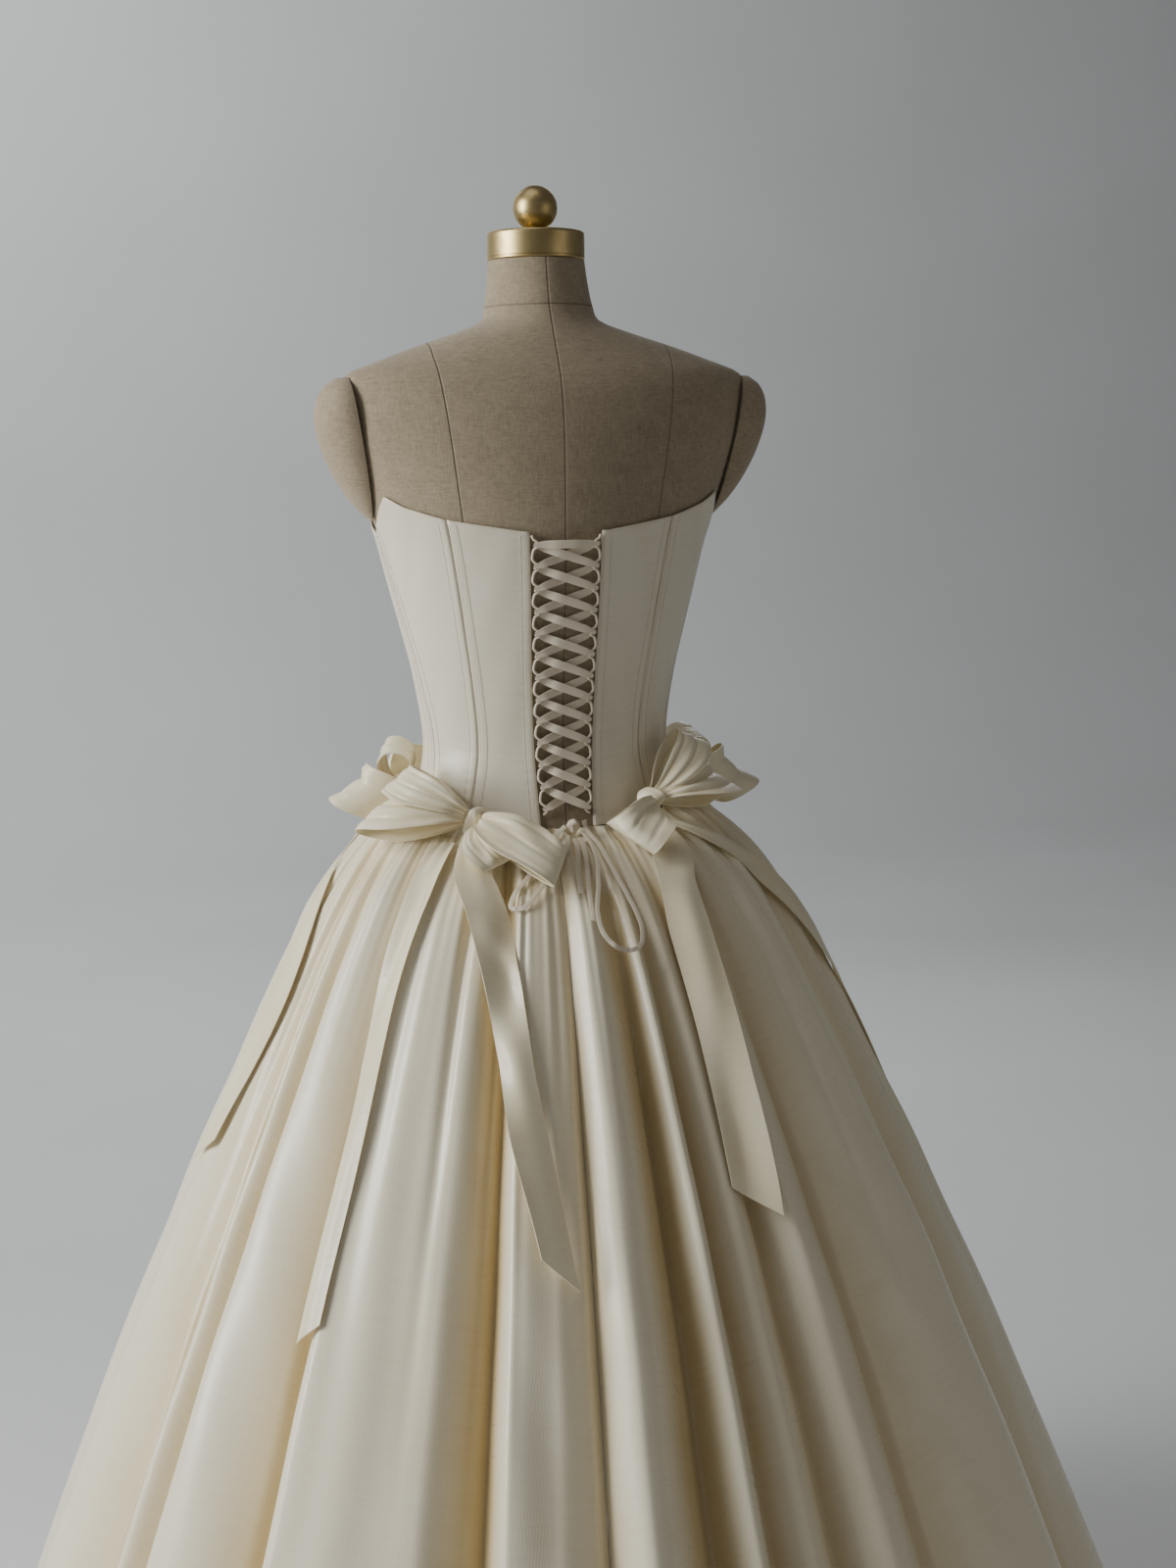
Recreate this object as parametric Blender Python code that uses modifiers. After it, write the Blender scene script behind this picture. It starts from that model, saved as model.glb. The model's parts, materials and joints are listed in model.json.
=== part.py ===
"""Strapless ball gown for a wedding, laced at the back, on a limbless linen dress form.

Metres, +Z up. The origin is on the floor at the centre of the stand's base.
The wearer faces -Y, so the laced back is at +Y and the wearer's left is at +X.
Angles run round the body from the wearer's left (0) over the centre back (90)
and the wearer's right (180) to the centre front (270).
"""
import bpy
import bmesh
from math import acos, ceil, cos, degrees, exp, pi, radians, sin
from mathutils import Vector

MM = 0.001

# Driving dimensions of the gown
SEAM_GAP = 0.3 * MM
BODICE_WALL = 2.0 * MM
BODICE_CLEARANCE = 1.2 * MM
SKIRT_WALL = 1.3 * MM
RIBBON_WALL = 1.0 * MM
WAIST_SEAM = 1.000
HEM = 0.012
CENTRE_BACK = 90.0
CENTRE_FRONT = 270.0

# Driving dimensions of the dress form and its stand
NECK_TOP = 1.5000
NECK_CAP_RADIUS = 45.0 * MM
NECK_CAP_HEIGHT = 26.0 * MM
BALL_RADIUS = 20.5 * MM
BALL_COLLAR_HEIGHT = 2.5 * MM
FORM_BOTTOM = 0.822
TORSO_SLACK = 0.3 * MM
POLE_RADIUS = 14.0 * MM
BASE_RADIUS = 0.200
BASE_HEIGHT = 22.0 * MM

# Body sections: height, half width, depth at the back, depth at the front, how far the widest line lies back
BODY_SECTIONS = (
    (0.822, 0.118, 0.076, 0.074, 0.0),
    (0.840, 0.148, 0.100, 0.092, 0.0),
    (0.875, 0.163, 0.114, 0.103, 0.0),
    (0.930, 0.157, 0.107, 0.104, 0.0),
    (0.985, 0.134, 0.091, 0.098, 0.0),
    (1.022, 0.1195, 0.0830, 0.092, 0.0),
    (1.060, 0.1125, 0.0795, 0.087, 0.0),
    (1.121, 0.1205, 0.0850, 0.093, 0.001),
    (1.164, 0.1305, 0.0920, 0.103, 0.002),
    (1.209, 0.1415, 0.0975, 0.113, 0.004),
    (1.255, 0.1540, 0.0995, 0.114, 0.007),
    (1.300, 0.1720, 0.0970, 0.110, 0.012),
    (1.345, 0.1900, 0.0900, 0.104, 0.019),
    (1.378, 0.1930, 0.0770, 0.098, 0.026),
    (1.396, 0.1840, 0.0650, 0.090, 0.030),
    (1.410, 0.1500, 0.0580, 0.081, 0.028),
    (1.422, 0.1170, 0.0540, 0.073, 0.024),
    (1.433, 0.0840, 0.0520, 0.065, 0.018),
    (1.444, 0.0560, 0.0520, 0.057, 0.011),
    (1.457, 0.0505, 0.0495, 0.051, 0.006),
    (1.478, 0.0470, 0.0475, 0.047, 0.002),
    (1.500, 0.0445, 0.0445, 0.0445, 0.0),
)
BUST_HEIGHT = 1.222
BUST_RISE = 0.060
BUST_ANGLE = 37.0
BUST_SPREAD = 25.0
BUST_REACH = 0.022
FORM_BUST_REACH = 0.0198
FRONT_BRIDGE = 0.5

# Armhole plate: a plane that leans in towards its lower end
ARMHOLE_TOP = (0.182, 1.394)
ARMHOLE_FOOT = (0.160, 1.268)
# Arm cap sections: height, reach out of the plate, half depth
ARM_CAP_SECTIONS = (
    (1.2680, 0.0040, 0.012),
    (1.2820, 0.0150, 0.025),
    (1.3010, 0.0250, 0.034),
    (1.3260, 0.0330, 0.040),
    (1.3520, 0.0355, 0.042),
    (1.3720, 0.0310, 0.038),
    (1.3860, 0.0215, 0.029),
    (1.3935, 0.0100, 0.016),
)

# Bodice edges: degrees from the centre back, height
BODICE_TOP = (
    (0.0, 1.2530), (15.0, 1.2560), (41.0, 1.2670), (57.0, 1.2780), (66.0, 1.2880),
    (86.0, 1.2550), (100.0, 1.2640), (125.0, 1.2900), (143.0, 1.3000), (165.0, 1.2830), (180.0, 1.2740),
)
BODICE_FOOT = (
    (0.0, 0.9870), (25.0, 0.9900), (60.0, 1.0040), (90.0, 1.0080), (125.0, 1.0000), (180.0, 0.9800),
)
# Bodice seams: degrees from the centre back at the top, the waist and the foot
SEAM_LEVELS = (1.2900, 1.0600, 0.9900)
BODICE_SEAMS = {
    "back_princess": (40.5, 41.0, 41.5),
    "side_back": (86.0, 73.0, 67.0),
    "side_front": (112.0, 107.0, 104.0),
    "front_princess": (147.0, 152.0, 154.0),
}
SEAM_HALF_GAP = 0.11
BODICE_ROWS = tuple(i / 9 for i in range(10))
# Half of the laced opening: height, distance from the centre back
LACING_EDGE = ((0.980, 0.0238), (1.060, 0.0267), (1.140, 0.0295), (1.260, 0.0330))

# Rouleau loops and the flat lace
LOOP_COUNT = 13
LOOP_PITCH = 20.0 * MM
FIRST_LOOP = 1.2440
ROULEAU_RADIUS = 1.2 * MM
LOOP_REACH = 5.0 * MM
LOOP_HALF_HEIGHT = 5.5 * MM
LACE_WIDTH = 7.5 * MM
LACE_INSET = 3.3 * MM

# Skirt sections at nominal heights: height, side radius, depth at the back, depth at the front
SKIRT_SECTIONS = (
    (0.012, 0.592, 0.600, 0.575),
    (0.120, 0.556, 0.562, 0.540),
    (0.260, 0.507, 0.510, 0.492),
    (0.400, 0.452, 0.452, 0.438),
    (0.520, 0.402, 0.402, 0.388),
    (0.640, 0.350, 0.350, 0.336),
    (0.740, 0.304, 0.300, 0.288),
    (0.820, 0.266, 0.258, 0.246),
    (0.880, 0.235, 0.222, 0.212),
    (0.930, 0.205, 0.188, 0.180),
    (0.965, 0.177, 0.153, 0.149),
    (0.988, 0.150, 0.120, 0.122),
)
SKIRT_REFERENCE_RADIUS = 0.45
# Half steps along the cloth that find which way its face looks
PROBE_ANGLE = 0.25
PROBE_SHARE = 0.004
# Skirt folds at the reference radius: angle, how far the cloth stands out of its mean line in mm
SKIRT_FOLDS = (
    (4.0, 8.0), (19.0, -14.0), (22.5, 2.0), (25.0, -12.0), (30.0, 14.0), (42.0, -20.0),
    (47.0, 22.0), (62.0, 4.0), (69.0, -28.0), (72.5, 12.0), (78.0, 4.0), (83.5, -10.0),
    (88.0, 18.0), (96.0, -30.0), (99.5, 10.0), (102.5, -16.0), (106.0, 2.0), (110.5, -16.0),
    (115.0, 15.0), (122.5, -12.0), (140.0, 20.0), (152.0, -10.0), (165.0, 16.0), (176.0, -16.0),
    (183.0, 14.0), (193.0, -18.0), (199.0, 14.0), (211.0, -14.0), (219.0, 16.0), (231.0, -22.0),
    (236.0, 14.0), (249.0, -12.0), (259.0, 18.0), (272.0, -20.0), (277.0, 16.0), (290.0, -14.0),
    (299.0, 16.0), (308.0, -20.0), (313.0, 14.0), (328.0, -14.0), (337.0, 18.0), (351.0, -14.0),
)
FOLD_COLUMNS = 4
COLUMN_STEP = 2.6
# Drop below the waist seam over which the folds grow to full depth
FOLD_START = 60.0 * MM
GATHER_COUNT = 46
GATHER_DEPTH = 2.2 * MM
GATHER_FADE = 0.060
PLACKET_ANGLE = 91.0
PLACKET_DEPTH = 10.0 * MM
PLACKET_SPREAD = 2.6
PLACKET_DROP = 25.0 * MM
PLACKET_LENGTH = 20.0 * MM
# The gathered seam stands a little proud of the bodice, then the skirt flares out below it
SEAM_STEP = 1.0 * MM
SEAM_EASE = 4.0 * MM
SEAM_FLARE = 12.0 * MM
SKIRT_ROWS = (0.0, SEAM_FLARE / (WAIST_SEAM - HEM), 0.040, 0.090, 0.170, 0.290, 0.460, 0.700, 1.0)
# Gore seams run down the hidden side of folds
GORES = {
    "skirt_side_back_left": (-9.0, 42.0),
    "skirt_back_left": (42.0, 83.5),
    "skirt_back_right": (83.5, 122.5),
    "skirt_side_back_right": (122.5, 172.0),
    "skirt_side_front_right": (172.0, 231.0),
    "skirt_front": (231.0, 308.0),
    "skirt_side_front_left": (308.0, 351.0),
}

# Ribbon work lies on the gown, a little above its highest folds
RIBBON_CLEARANCE = 1.1 * MM
RIBBON_LEAN = radians(25.0)
RIBBON_OVER_BODICE = 2.0 * MM
# Ribbon above the waist seam stays out over it, less so with height
SEAM_COVER = 4.0 * MM
SEAM_COVER_FADE = 10.0 * MM
CARRIER_OFFSETS = (-5.0, -3.5, -2.0, -1.0, 0.0, 1.0, 2.0, 3.5, 5.0)
KNOT_HALF_WIDTH = 13.0 * MM
KNOT_HALF_HEIGHT = 15.0 * MM
KNOT_DEPTH = 19.0 * MM
ROUNDING = 0.293
KNOT_GAP = 0.7 * MM
KNOT_SEAT = 0.1 * MM
# One loop of a bow: share of its length, of its height and of its width
LOOP_ROWS = (
    (0.00, 0.36, 0.28), (0.14, 0.72, 0.46), (0.42, 1.00, 0.88), (0.70, 0.99, 1.00), (0.90, 0.80, 1.04),
    (1.00, 0.45, 1.04), (0.92, 0.14, 1.02), (0.66, 0.02, 0.98), (0.32, 0.00, 0.70), (0.00, 0.00, 0.28),
)
# Bows: angle and height of the knot
BOWS = {
    "bow_back_left": (48.0, 0.9970),
    "bow_back_right": (131.0, 1.0070),
    "bow_side_left": (-15.0, 1.0080),
    "bow_side_right": (195.0, 1.0080),
}
# Loops of a bow: bow, loop, aim in degrees (0 to the right, 90 up), then in mm its length, height, width,
# bend to one side at the tip, tilt, how much higher one edge stands than the other, and seat, its lowest lift
BOW_LOOPS = (
    ("bow_back_left", "upper", 146.0, 72.0, 36.0, 40.0, 6.0, 10.0, 2.3),
    ("bow_back_left", "lower", 193.0, 64.0, 34.0, 36.0, 0.0, 8.0, 2.3),
    ("bow_back_left", "right", -21.0, 74.0, 20.0, 34.0, -12.0, 0.0, 5.2),
    ("bow_back_left", "fold", -62.0, 46.0, 18.0, 24.0, 6.0, 0.0, 2.3),
    ("bow_back_right", "upper", 60.0, 62.0, 30.0, 42.0, 0.0, -26.0, 2.3),
    ("bow_back_right", "right", 8.0, 46.0, 38.0, 38.0, 0.0, -10.0, 2.3),
    ("bow_back_right", "lower", 214.0, 54.0, 24.0, 34.0, 0.0, -6.0, 2.3),
    ("bow_side_left", "upper", 70.0, 34.0, 30.0, 34.0, 0.0, 0.0, 2.3),
    ("bow_side_left", "front", 172.0, 62.0, 30.0, 38.0, 0.0, 0.0, 2.3),
    ("bow_side_left", "back", -6.0, 30.0, 40.0, 34.0, 0.0, 0.0, 2.3),
    ("bow_side_right", "upper", 110.0, 34.0, 38.0, 34.0, 0.0, 0.0, 2.3),
    ("bow_side_right", "front", 8.0, 62.0, 30.0, 38.0, 0.0, 0.0, 2.3),
    ("bow_side_right", "back", 184.0, 40.0, 46.0, 36.0, 0.0, 0.0, 2.3),
)
# Tails of a bow: bow, tail, width in mm, cut (which edge is longer), then height and angle of each point
BOW_TAILS = (
    ("bow_back_left", "tail_right", 31.0, -1.0, (
        (0.9800, 49.6), (0.960, 55.0), (0.935, 61.0), (0.905, 65.0), (0.870, 68.3),
        (0.803, 72.0), (0.743, 75.0), (0.700, 77.0), (0.655, 78.8))),
    ("bow_back_left", "tail_left", 30.0, 1.0, (
        (0.9800, 42.2), (0.960, 41.8), (0.935, 42.2), (0.903, 42.2), (0.871, 42.5),
        (0.825, 43.4), (0.773, 44.2), (0.700, 44.8), (0.600, 45.0))),
    ("bow_back_right", "tail_left", 34.0, -1.0, (
        (0.9895, 128.0), (0.968, 123.0), (0.942, 118.0), (0.915, 115.2), (0.885, 113.7),
        (0.808, 111.6), (0.750, 110.6), (0.692, 109.5))),
    ("bow_back_right", "tail_right", 30.0, 1.0, (
        (0.9895, 135.5), (0.970, 144.0), (0.945, 152.0), (0.915, 158.5), (0.880, 163.0),
        (0.820, 168.0), (0.760, 171.0), (0.700, 173.0))),
    ("bow_side_left", "tail_back", 33.0, 1.0, (
        (0.9910, -13.0), (0.970, -9.0), (0.935, -4.0), (0.890, 0.5), (0.840, 2.0),
        (0.789, 1.0), (0.740, -1.0), (0.695, -3.0))),
    ("bow_side_right", "tail_back", 33.0, -1.0, (
        (0.9910, 194.0), (0.970, 192.0), (0.935, 190.0), (0.880, 188.0), (0.820, 187.0),
        (0.760, 186.5), (0.690, 186.0), (0.640, 186.0))),
)
# Lace bow at the foot of the lacing: knot, then strips as points of angle, height, lift in mm
LACE_KNOT = (91.5, 0.9890)
LACE_KNOT_RADIUS = 6.0 * MM
LACE_KNOT_DEPTH = 8.0 * MM
LACE_KNOT_SEAT = 0.4 * MM
LACE_TIES = {
    "lace_long_loop": (
        (96.2, 0.9830, 3.0), (95.9, 0.966, 4.0), (93.0, 0.946, 4.5), (90.8, 0.928, 4.5),
        (91.0, 0.911, 4.5), (93.5, 0.899, 4.5), (97.0, 0.8945, 4.5), (100.0, 0.898, 4.5),
        (101.5, 0.910, 4.5), (101.3, 0.926, 4.5), (100.2, 0.945, 5.0), (98.4, 0.972, 6.5), (96.3, 0.992, 8.0)),
    "lace_short_loop": (
        (87.3, 0.9885, 3.6), (84.0, 0.984, 1.6), (77.0, 0.970, 0.1), (71.5, 0.953, 0.0), (68.6, 0.9425, 0.0),
        (68.0, 0.932, 0.0), (71.5, 0.932, 0.0), (75.0, 0.943, 0.0), (80.5, 0.960, 0.2), (84.6, 0.9705, 0.8),
        (86.6, 0.976, 1.6), (88.0, 0.981, 3.4)),
    "lace_end_long": (
        (93.2, 0.9795, 3.0), (92.2, 0.967, 2.0), (90.8, 0.953, 2.0), (89.7, 0.937, 2.0), (89.3, 0.920, 2.0)),
    "lace_end_short": ((90.6, 0.9790, 3.2), (89.4, 0.968, 2.8), (88.0, 0.956, 2.3), (87.4, 0.941, 2.0)),
}
TIE_WIDTH = 5.0 * MM

# Materials: colour, roughness, metallic
FINISHES = {
    "duchess_satin": ((0.76, 0.70, 0.58, 1.0), 0.38, 0.0),
    "ribbon_satin": ((0.76, 0.66, 0.48, 1.0), 0.45, 0.0),
    "lace_ribbon": ((0.62, 0.54, 0.42, 1.0), 0.55, 0.0),
    "linen": ((0.50, 0.43, 0.34, 1.0), 0.90, 0.0),
    "brass": ((0.50, 0.37, 0.16, 1.0), 0.38, 1.0),
    "painted_steel": ((0.05, 0.05, 0.05, 1.0), 0.45, 0.0),
}


# Helpers

def read_row(table, key):
    """Smooth values of a table whose first column rises, at one key."""
    if key <= table[0][0]:
        return table[0][1:]
    if key >= table[-1][0]:
        return table[-1][1:]
    k = max(i for i, row in enumerate(table[:-1]) if row[0] <= key)
    before, low, high, after = table[max(k - 1, 0)], table[k], table[k + 1], table[min(k + 2, len(table) - 1)]
    span = high[0] - low[0]
    t = (key - low[0]) / span
    values = []
    for column in range(1, len(low)):
        slope_low = (high[column] - before[column]) / (high[0] - before[0])
        slope_high = (after[column] - low[column]) / (after[0] - low[0])
        values.append((2 * t**3 - 3 * t**2 + 1) * low[column] + (t**3 - 2 * t**2 + t) * span * slope_low
                      + (3 * t**2 - 2 * t**3) * high[column] + (t**3 - t**2) * span * slope_high)
    return values


def read_line(table, key):
    """Straight-line value of a two-column table, with its corners kept sharp."""
    if key <= table[0][0]:
        return table[0][1]
    for low, high in zip(table, table[1:]):
        if key <= high[0]:
            return low[1] + (high[1] - low[1]) * (key - low[0]) / (high[0] - low[0])
    return table[-1][1]


def ease(t):
    t = min(max(t, 0.0), 1.0)
    return t * t * (3.0 - 2.0 * t)


def bell(distance, spread):
    return exp(-(distance / spread) ** 2)


def from_back(angle):
    """Degrees between an angle and the centre back."""
    return abs((angle - CENTRE_BACK + 180.0) % 360.0 - 180.0)


def make_material(name):
    colour, roughness, metallic = FINISHES[name]
    material = bpy.data.materials.new(name)
    material.use_nodes = True
    shader = material.node_tree.nodes["Principled BSDF"]
    shader.inputs["Base Color"].default_value = colour
    shader.inputs["Roughness"].default_value = roughness
    shader.inputs["Metallic"].default_value = metallic
    material.diffuse_color = colour
    return material


def add_piece(name, mesh, finish, smooth_angle=50.0):
    """Link a finished mesh or curve to the part's collection with its own material."""
    piece = bpy.data.objects.new(name, mesh)
    GOWN.objects.link(piece)
    mesh.materials.append(make_material(finish))
    if isinstance(mesh, bpy.types.Mesh):
        mesh.shade_smooth()
        mesh.set_sharp_from_angle(angle=radians(smooth_angle))
    return piece


def to_mesh(name, bm):
    bmesh.ops.recalc_face_normals(bm, faces=bm.faces[:])
    if bm.calc_volume(signed=True) < 0.0:
        bmesh.ops.reverse_faces(bm, faces=bm.faces[:])
    mesh = bpy.data.meshes.new(name)
    bm.to_mesh(mesh)
    bm.free()
    return mesh


def cloth_wall(name, finish, columns, rows, place):
    """A closed wall of cloth: place(column, row, side) gives a point, side 0 outside and 1 inside."""
    bm = bmesh.new()
    across, along = len(columns) - 1, len(rows) - 1
    bmesh.ops.create_grid(bm, x_segments=across, y_segments=along, size=0.5)
    spots = [(round((v.co.x + 0.5) * across), round((v.co.y + 0.5) * along)) for v in bm.verts]
    outside = bm.verts[:]
    inside = [v for v in bmesh.ops.extrude_face_region(bm, geom=bm.faces[:], use_keep_orig=True)["geom"]
              if isinstance(v, bmesh.types.BMVert)]
    inner_spots = [(round((v.co.x + 0.5) * across), round((v.co.y + 0.5) * along)) for v in inside]
    for side, verts, places in ((0, outside, spots), (1, inside, inner_spots)):
        for vert, (i, j) in zip(verts, places):
            vert.co = place(columns[i], rows[j], side)
    return add_piece(name, to_mesh(name, bm), finish)


def loft(name, finish, rings, smooth_angle=50.0):
    """A closed solid through rings of points, with flat ends."""
    bm = bmesh.new()
    loops = [[bm.verts.new(point) for point in ring] for ring in rings]
    count = len(rings[0])
    for low, high in zip(loops, loops[1:]):
        for i in range(count):
            bm.faces.new((low[i], low[(i + 1) % count], high[(i + 1) % count], high[i]))
    bm.faces.new(loops[0][::-1])
    bm.faces.new(loops[-1])
    return add_piece(name, to_mesh(name, bm), finish, smooth_angle)


def turned(name, finish, profile, steps):
    """A round piece: its outer profile, top to bottom, turned about the stand's axis."""
    mesh = bpy.data.meshes.new(name)
    mesh.from_pydata([(radius, 0.0, height) for radius, height in profile],
                     [(i, i + 1) for i in range(len(profile) - 1)], [])
    piece = add_piece(name, mesh, finish)
    screw = piece.modifiers.new("turn", "SCREW")
    screw.steps = steps
    screw.render_steps = steps
    screw.use_merge_vertices = True
    screw.merge_threshold = 0.0001
    screw.use_smooth_shade = True
    return piece


# Body and gown surfaces

def bust_reach(angle, height, reach, bridge):
    """How far the bust stands out; the bodice bridges part of the hollow at the centre front."""
    from_front = 180.0 - from_back(angle)
    share = bell(from_front - BUST_ANGLE, BUST_SPREAD)
    if from_front < BUST_ANGLE:
        share += (1.0 - share) * bridge
    return reach * bell(height - BUST_HEIGHT, BUST_RISE) * share


def body_point(angle, height, out=0.0, reach=BUST_REACH, bridge=FRONT_BRIDGE):
    """A point of the body's surface, or off it by a distance."""
    half_width, back, front, set_back = read_row(BODY_SECTIONS, height)
    t = radians(angle)
    depth = back if sin(t) >= 0.0 else front
    normal = Vector((cos(t) * depth, sin(t) * half_width)).normalized()
    off = out + bust_reach(angle, height, reach, bridge)
    return Vector((half_width * cos(t) + normal.x * off, set_back + depth * sin(t) + normal.y * off, height))


def back_point(x, height, out):
    """A point on the form's back at a distance x from the centre back."""
    half_width = read_row(BODY_SECTIONS, height)[0]
    return body_point(degrees(acos(x / half_width)), height, out)


def bodice_foot(angle):
    return read_row(BODICE_FOOT, from_back(angle))[0]


def fold_offset(angle):
    """How far the folded skirt stands out of its mean line at the reference radius."""
    turn = angle % 360.0
    rows = ((SKIRT_FOLDS[-1][0] - 360.0, SKIRT_FOLDS[-1][1]),) + SKIRT_FOLDS \
        + ((SKIRT_FOLDS[0][0] + 360.0, SKIRT_FOLDS[0][1]),)
    for low, high in zip(rows, rows[1:]):
        if turn <= high[0]:
            return MM * (low[1] + (high[1] - low[1]) * ease((turn - low[0]) / (high[0] - low[0])))
    return MM * rows[-1][1]


def skirt_point(angle, share, inward=0.0):
    """A point of the skirt's outer face: share 0 at the waist seam, 1 at the hem."""
    nominal = WAIST_SEAM + (HEM - WAIST_SEAM) * share
    seam_shift = bodice_foot(angle) - SEAM_GAP - WAIST_SEAM
    height = nominal + seam_shift * (1.0 - share)
    drop = WAIST_SEAM - nominal
    t = radians(angle)
    top = body_point(angle, height, BODICE_CLEARANCE + BODICE_WALL + SEAM_STEP)
    seam_row = (WAIST_SEAM, body_point(0.0, WAIST_SEAM, SEAM_EASE).x,
                body_point(CENTRE_BACK, WAIST_SEAM, SEAM_EASE).y,
                -body_point(CENTRE_FRONT, WAIST_SEAM, SEAM_EASE).y)
    sections = SKIRT_SECTIONS + (seam_row,)
    side, back, front = read_row(sections, nominal)
    depth = back if sin(t) >= 0.0 else front
    mean = Vector((side * cos(t), depth * sin(t), height))
    settle = min(drop / SEAM_FLARE, 1.0)
    point = top.lerp(mean, settle)
    point.z = height
    normal = Vector((cos(t) * depth, sin(t) * side, 0.0)).normalized()
    scale = mean.xy.length / SKIRT_REFERENCE_RADIUS * ease(drop / FOLD_START)
    gather = GATHER_DEPTH * (1.0 + sin(radians(angle) * GATHER_COUNT)) * exp(-drop / GATHER_FADE)
    placket = (PLACKET_DEPTH * bell(angle - PLACKET_ANGLE, PLACKET_SPREAD)
               * bell(drop - PLACKET_DROP, PLACKET_LENGTH))
    return point + normal * (fold_offset(angle) * scale + gather - placket - inward)


def skirt_wall_point(angle, share, side):
    """Outer or inner face of the skirt's cloth, square to its folds."""
    if side == 0:
        return skirt_point(angle, share)
    around = skirt_point(angle + PROBE_ANGLE, share) - skirt_point(angle - PROBE_ANGLE, share)
    low, high = max(share - PROBE_SHARE, 0.0), min(share + PROBE_SHARE, 1.0)
    down = skirt_point(angle, high) - skirt_point(angle, low)
    normal = down.cross(around).normalized()
    return skirt_point(angle, share) - normal * SKIRT_WALL


def carrier_radius(angle, height):
    """Distance from the axis that clears the bodice and the skirt's folds near an angle."""
    foot = bodice_foot(angle)
    reach = 0.0
    for offset in CARRIER_OFFSETS:
        if height > foot:
            point = body_point(angle + offset, height, BODICE_CLEARANCE + BODICE_WALL + RIBBON_OVER_BODICE)
            seam = skirt_point(angle + offset, 0.0)
            near = bell(max(height - foot - SEAM_COVER, 0.0), SEAM_COVER_FADE)
            reach = max(reach, point.xy.length + near * max(seam.xy.length - point.xy.length, 0.0))
        else:
            share = (foot - height) / (foot - HEM)
            reach = max(reach, skirt_point(angle + offset, share).xy.length)
    return reach + RIBBON_CLEARANCE


def on_gown(angle, height, lift):
    """A point above the gown's surface, lifted outwards and a little up."""
    t = radians(angle)
    radius = carrier_radius(angle, height) + lift * cos(RIBBON_LEAN)
    return Vector((radius * cos(t), radius * sin(t), height + lift * sin(RIBBON_LEAN)))


# Dress form

def make_torso():
    """The linen torso, its sides cut flat where the arm caps sit."""
    levels = [row[0] for row in BODY_SECTIONS]
    levels[-1] = NECK_TOP - SEAM_GAP
    covered = [level for level in levels if BODICE_FOOT[0][1] < level < ARMHOLE_TOP[1]]
    levels = sorted(levels + [(low + high) / 2 for low, high in zip(covered, covered[1:])])
    steps = 26
    slope = (ARMHOLE_TOP[0] - ARMHOLE_FOOT[0]) / (ARMHOLE_TOP[1] - ARMHOLE_FOOT[1])
    rings = []
    for height in levels:
        plate = ARMHOLE_TOP[0] + slope * (height - ARMHOLE_TOP[1]) - SEAM_GAP / 2
        limit = plate if ARMHOLE_FOOT[1] < height < ARMHOLE_TOP[1] + 0.02 else 1.0
        ring = []
        for i in range(steps):
            point = body_point(360.0 * (i + 0.5) / steps, height, -TORSO_SLACK, FORM_BUST_REACH, 0.0)
            point.x = max(-limit, min(limit, point.x))
            ring.append(point)
        rings.append(ring)
    loft("form_torso", "linen", rings)


def make_arm_caps():
    """Padded caps that close the armholes, flat where they meet the torso."""
    slope = (ARMHOLE_TOP[0] - ARMHOLE_FOOT[0]) / (ARMHOLE_TOP[1] - ARMHOLE_FOOT[1])
    steps = 9
    for side, name in ((1.0, "form_arm_cap_left"), (-1.0, "form_arm_cap_right")):
        rings = []
        for height, reach, half_depth in ARM_CAP_SECTIONS:
            plate = ARMHOLE_TOP[0] + slope * (height - ARMHOLE_TOP[1]) + SEAM_GAP / 2
            centre = read_row(BODY_SECTIONS, height)[3]
            turns = [pi * i / (steps - 1) for i in range(steps)]
            rings.append([(side * (plate + reach * sin(turn)), centre + half_depth * cos(turn), height)
                          for turn in turns])
        loft(name, "linen", rings)


def make_neck_fittings():
    """The brass cap on the neck and the ball on its short collar."""
    top = NECK_TOP + NECK_CAP_HEIGHT
    bevel = 1.2 * MM
    turned("form_neck_cap", "brass", (
        (0.0, top), (NECK_CAP_RADIUS - 2.6 * bevel, top), (NECK_CAP_RADIUS - bevel, top - 0.4 * bevel),
        (NECK_CAP_RADIUS, top - 1.6 * bevel), (NECK_CAP_RADIUS, NECK_TOP + bevel),
        (NECK_CAP_RADIUS - bevel, NECK_TOP), (0.0, NECK_TOP)), 32)
    foot = top + SEAM_GAP
    centre = foot + BALL_COLLAR_HEIGHT + BALL_RADIUS * cos(radians(24.0))
    arc = [(BALL_RADIUS * sin(radians(a)), centre + BALL_RADIUS * cos(radians(a))) for a in range(0, 157, 13)]
    arc[0] = (0.0, centre + BALL_RADIUS)
    collar = BALL_RADIUS * sin(radians(24.0)) + 1.5 * MM
    turned("form_ball", "brass", arc + [(collar, foot + BALL_COLLAR_HEIGHT), (collar, foot), (0.0, foot)], 18)


def make_stand():
    """The pole and round base that carry the form under the skirt."""
    top = FORM_BOTTOM - SEAM_GAP
    foot = BASE_HEIGHT + SEAM_GAP
    turned("stand_pole", "painted_steel", (
        (0.0, top), (0.036, top), (0.036, top - 0.010), (POLE_RADIUS, top - 0.014),
        (POLE_RADIUS, foot + 0.030), (0.024, foot + 0.026), (0.024, foot), (0.0, foot)), 20)
    turned("stand_base", "painted_steel", (
        (0.0, BASE_HEIGHT), (0.060, BASE_HEIGHT), (BASE_RADIUS - 0.020, 0.012), (BASE_RADIUS - 0.003, 0.008),
        (BASE_RADIUS, 0.005), (BASE_RADIUS, 0.0), (0.0, 0.0)), 28)


# Bodice

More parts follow.
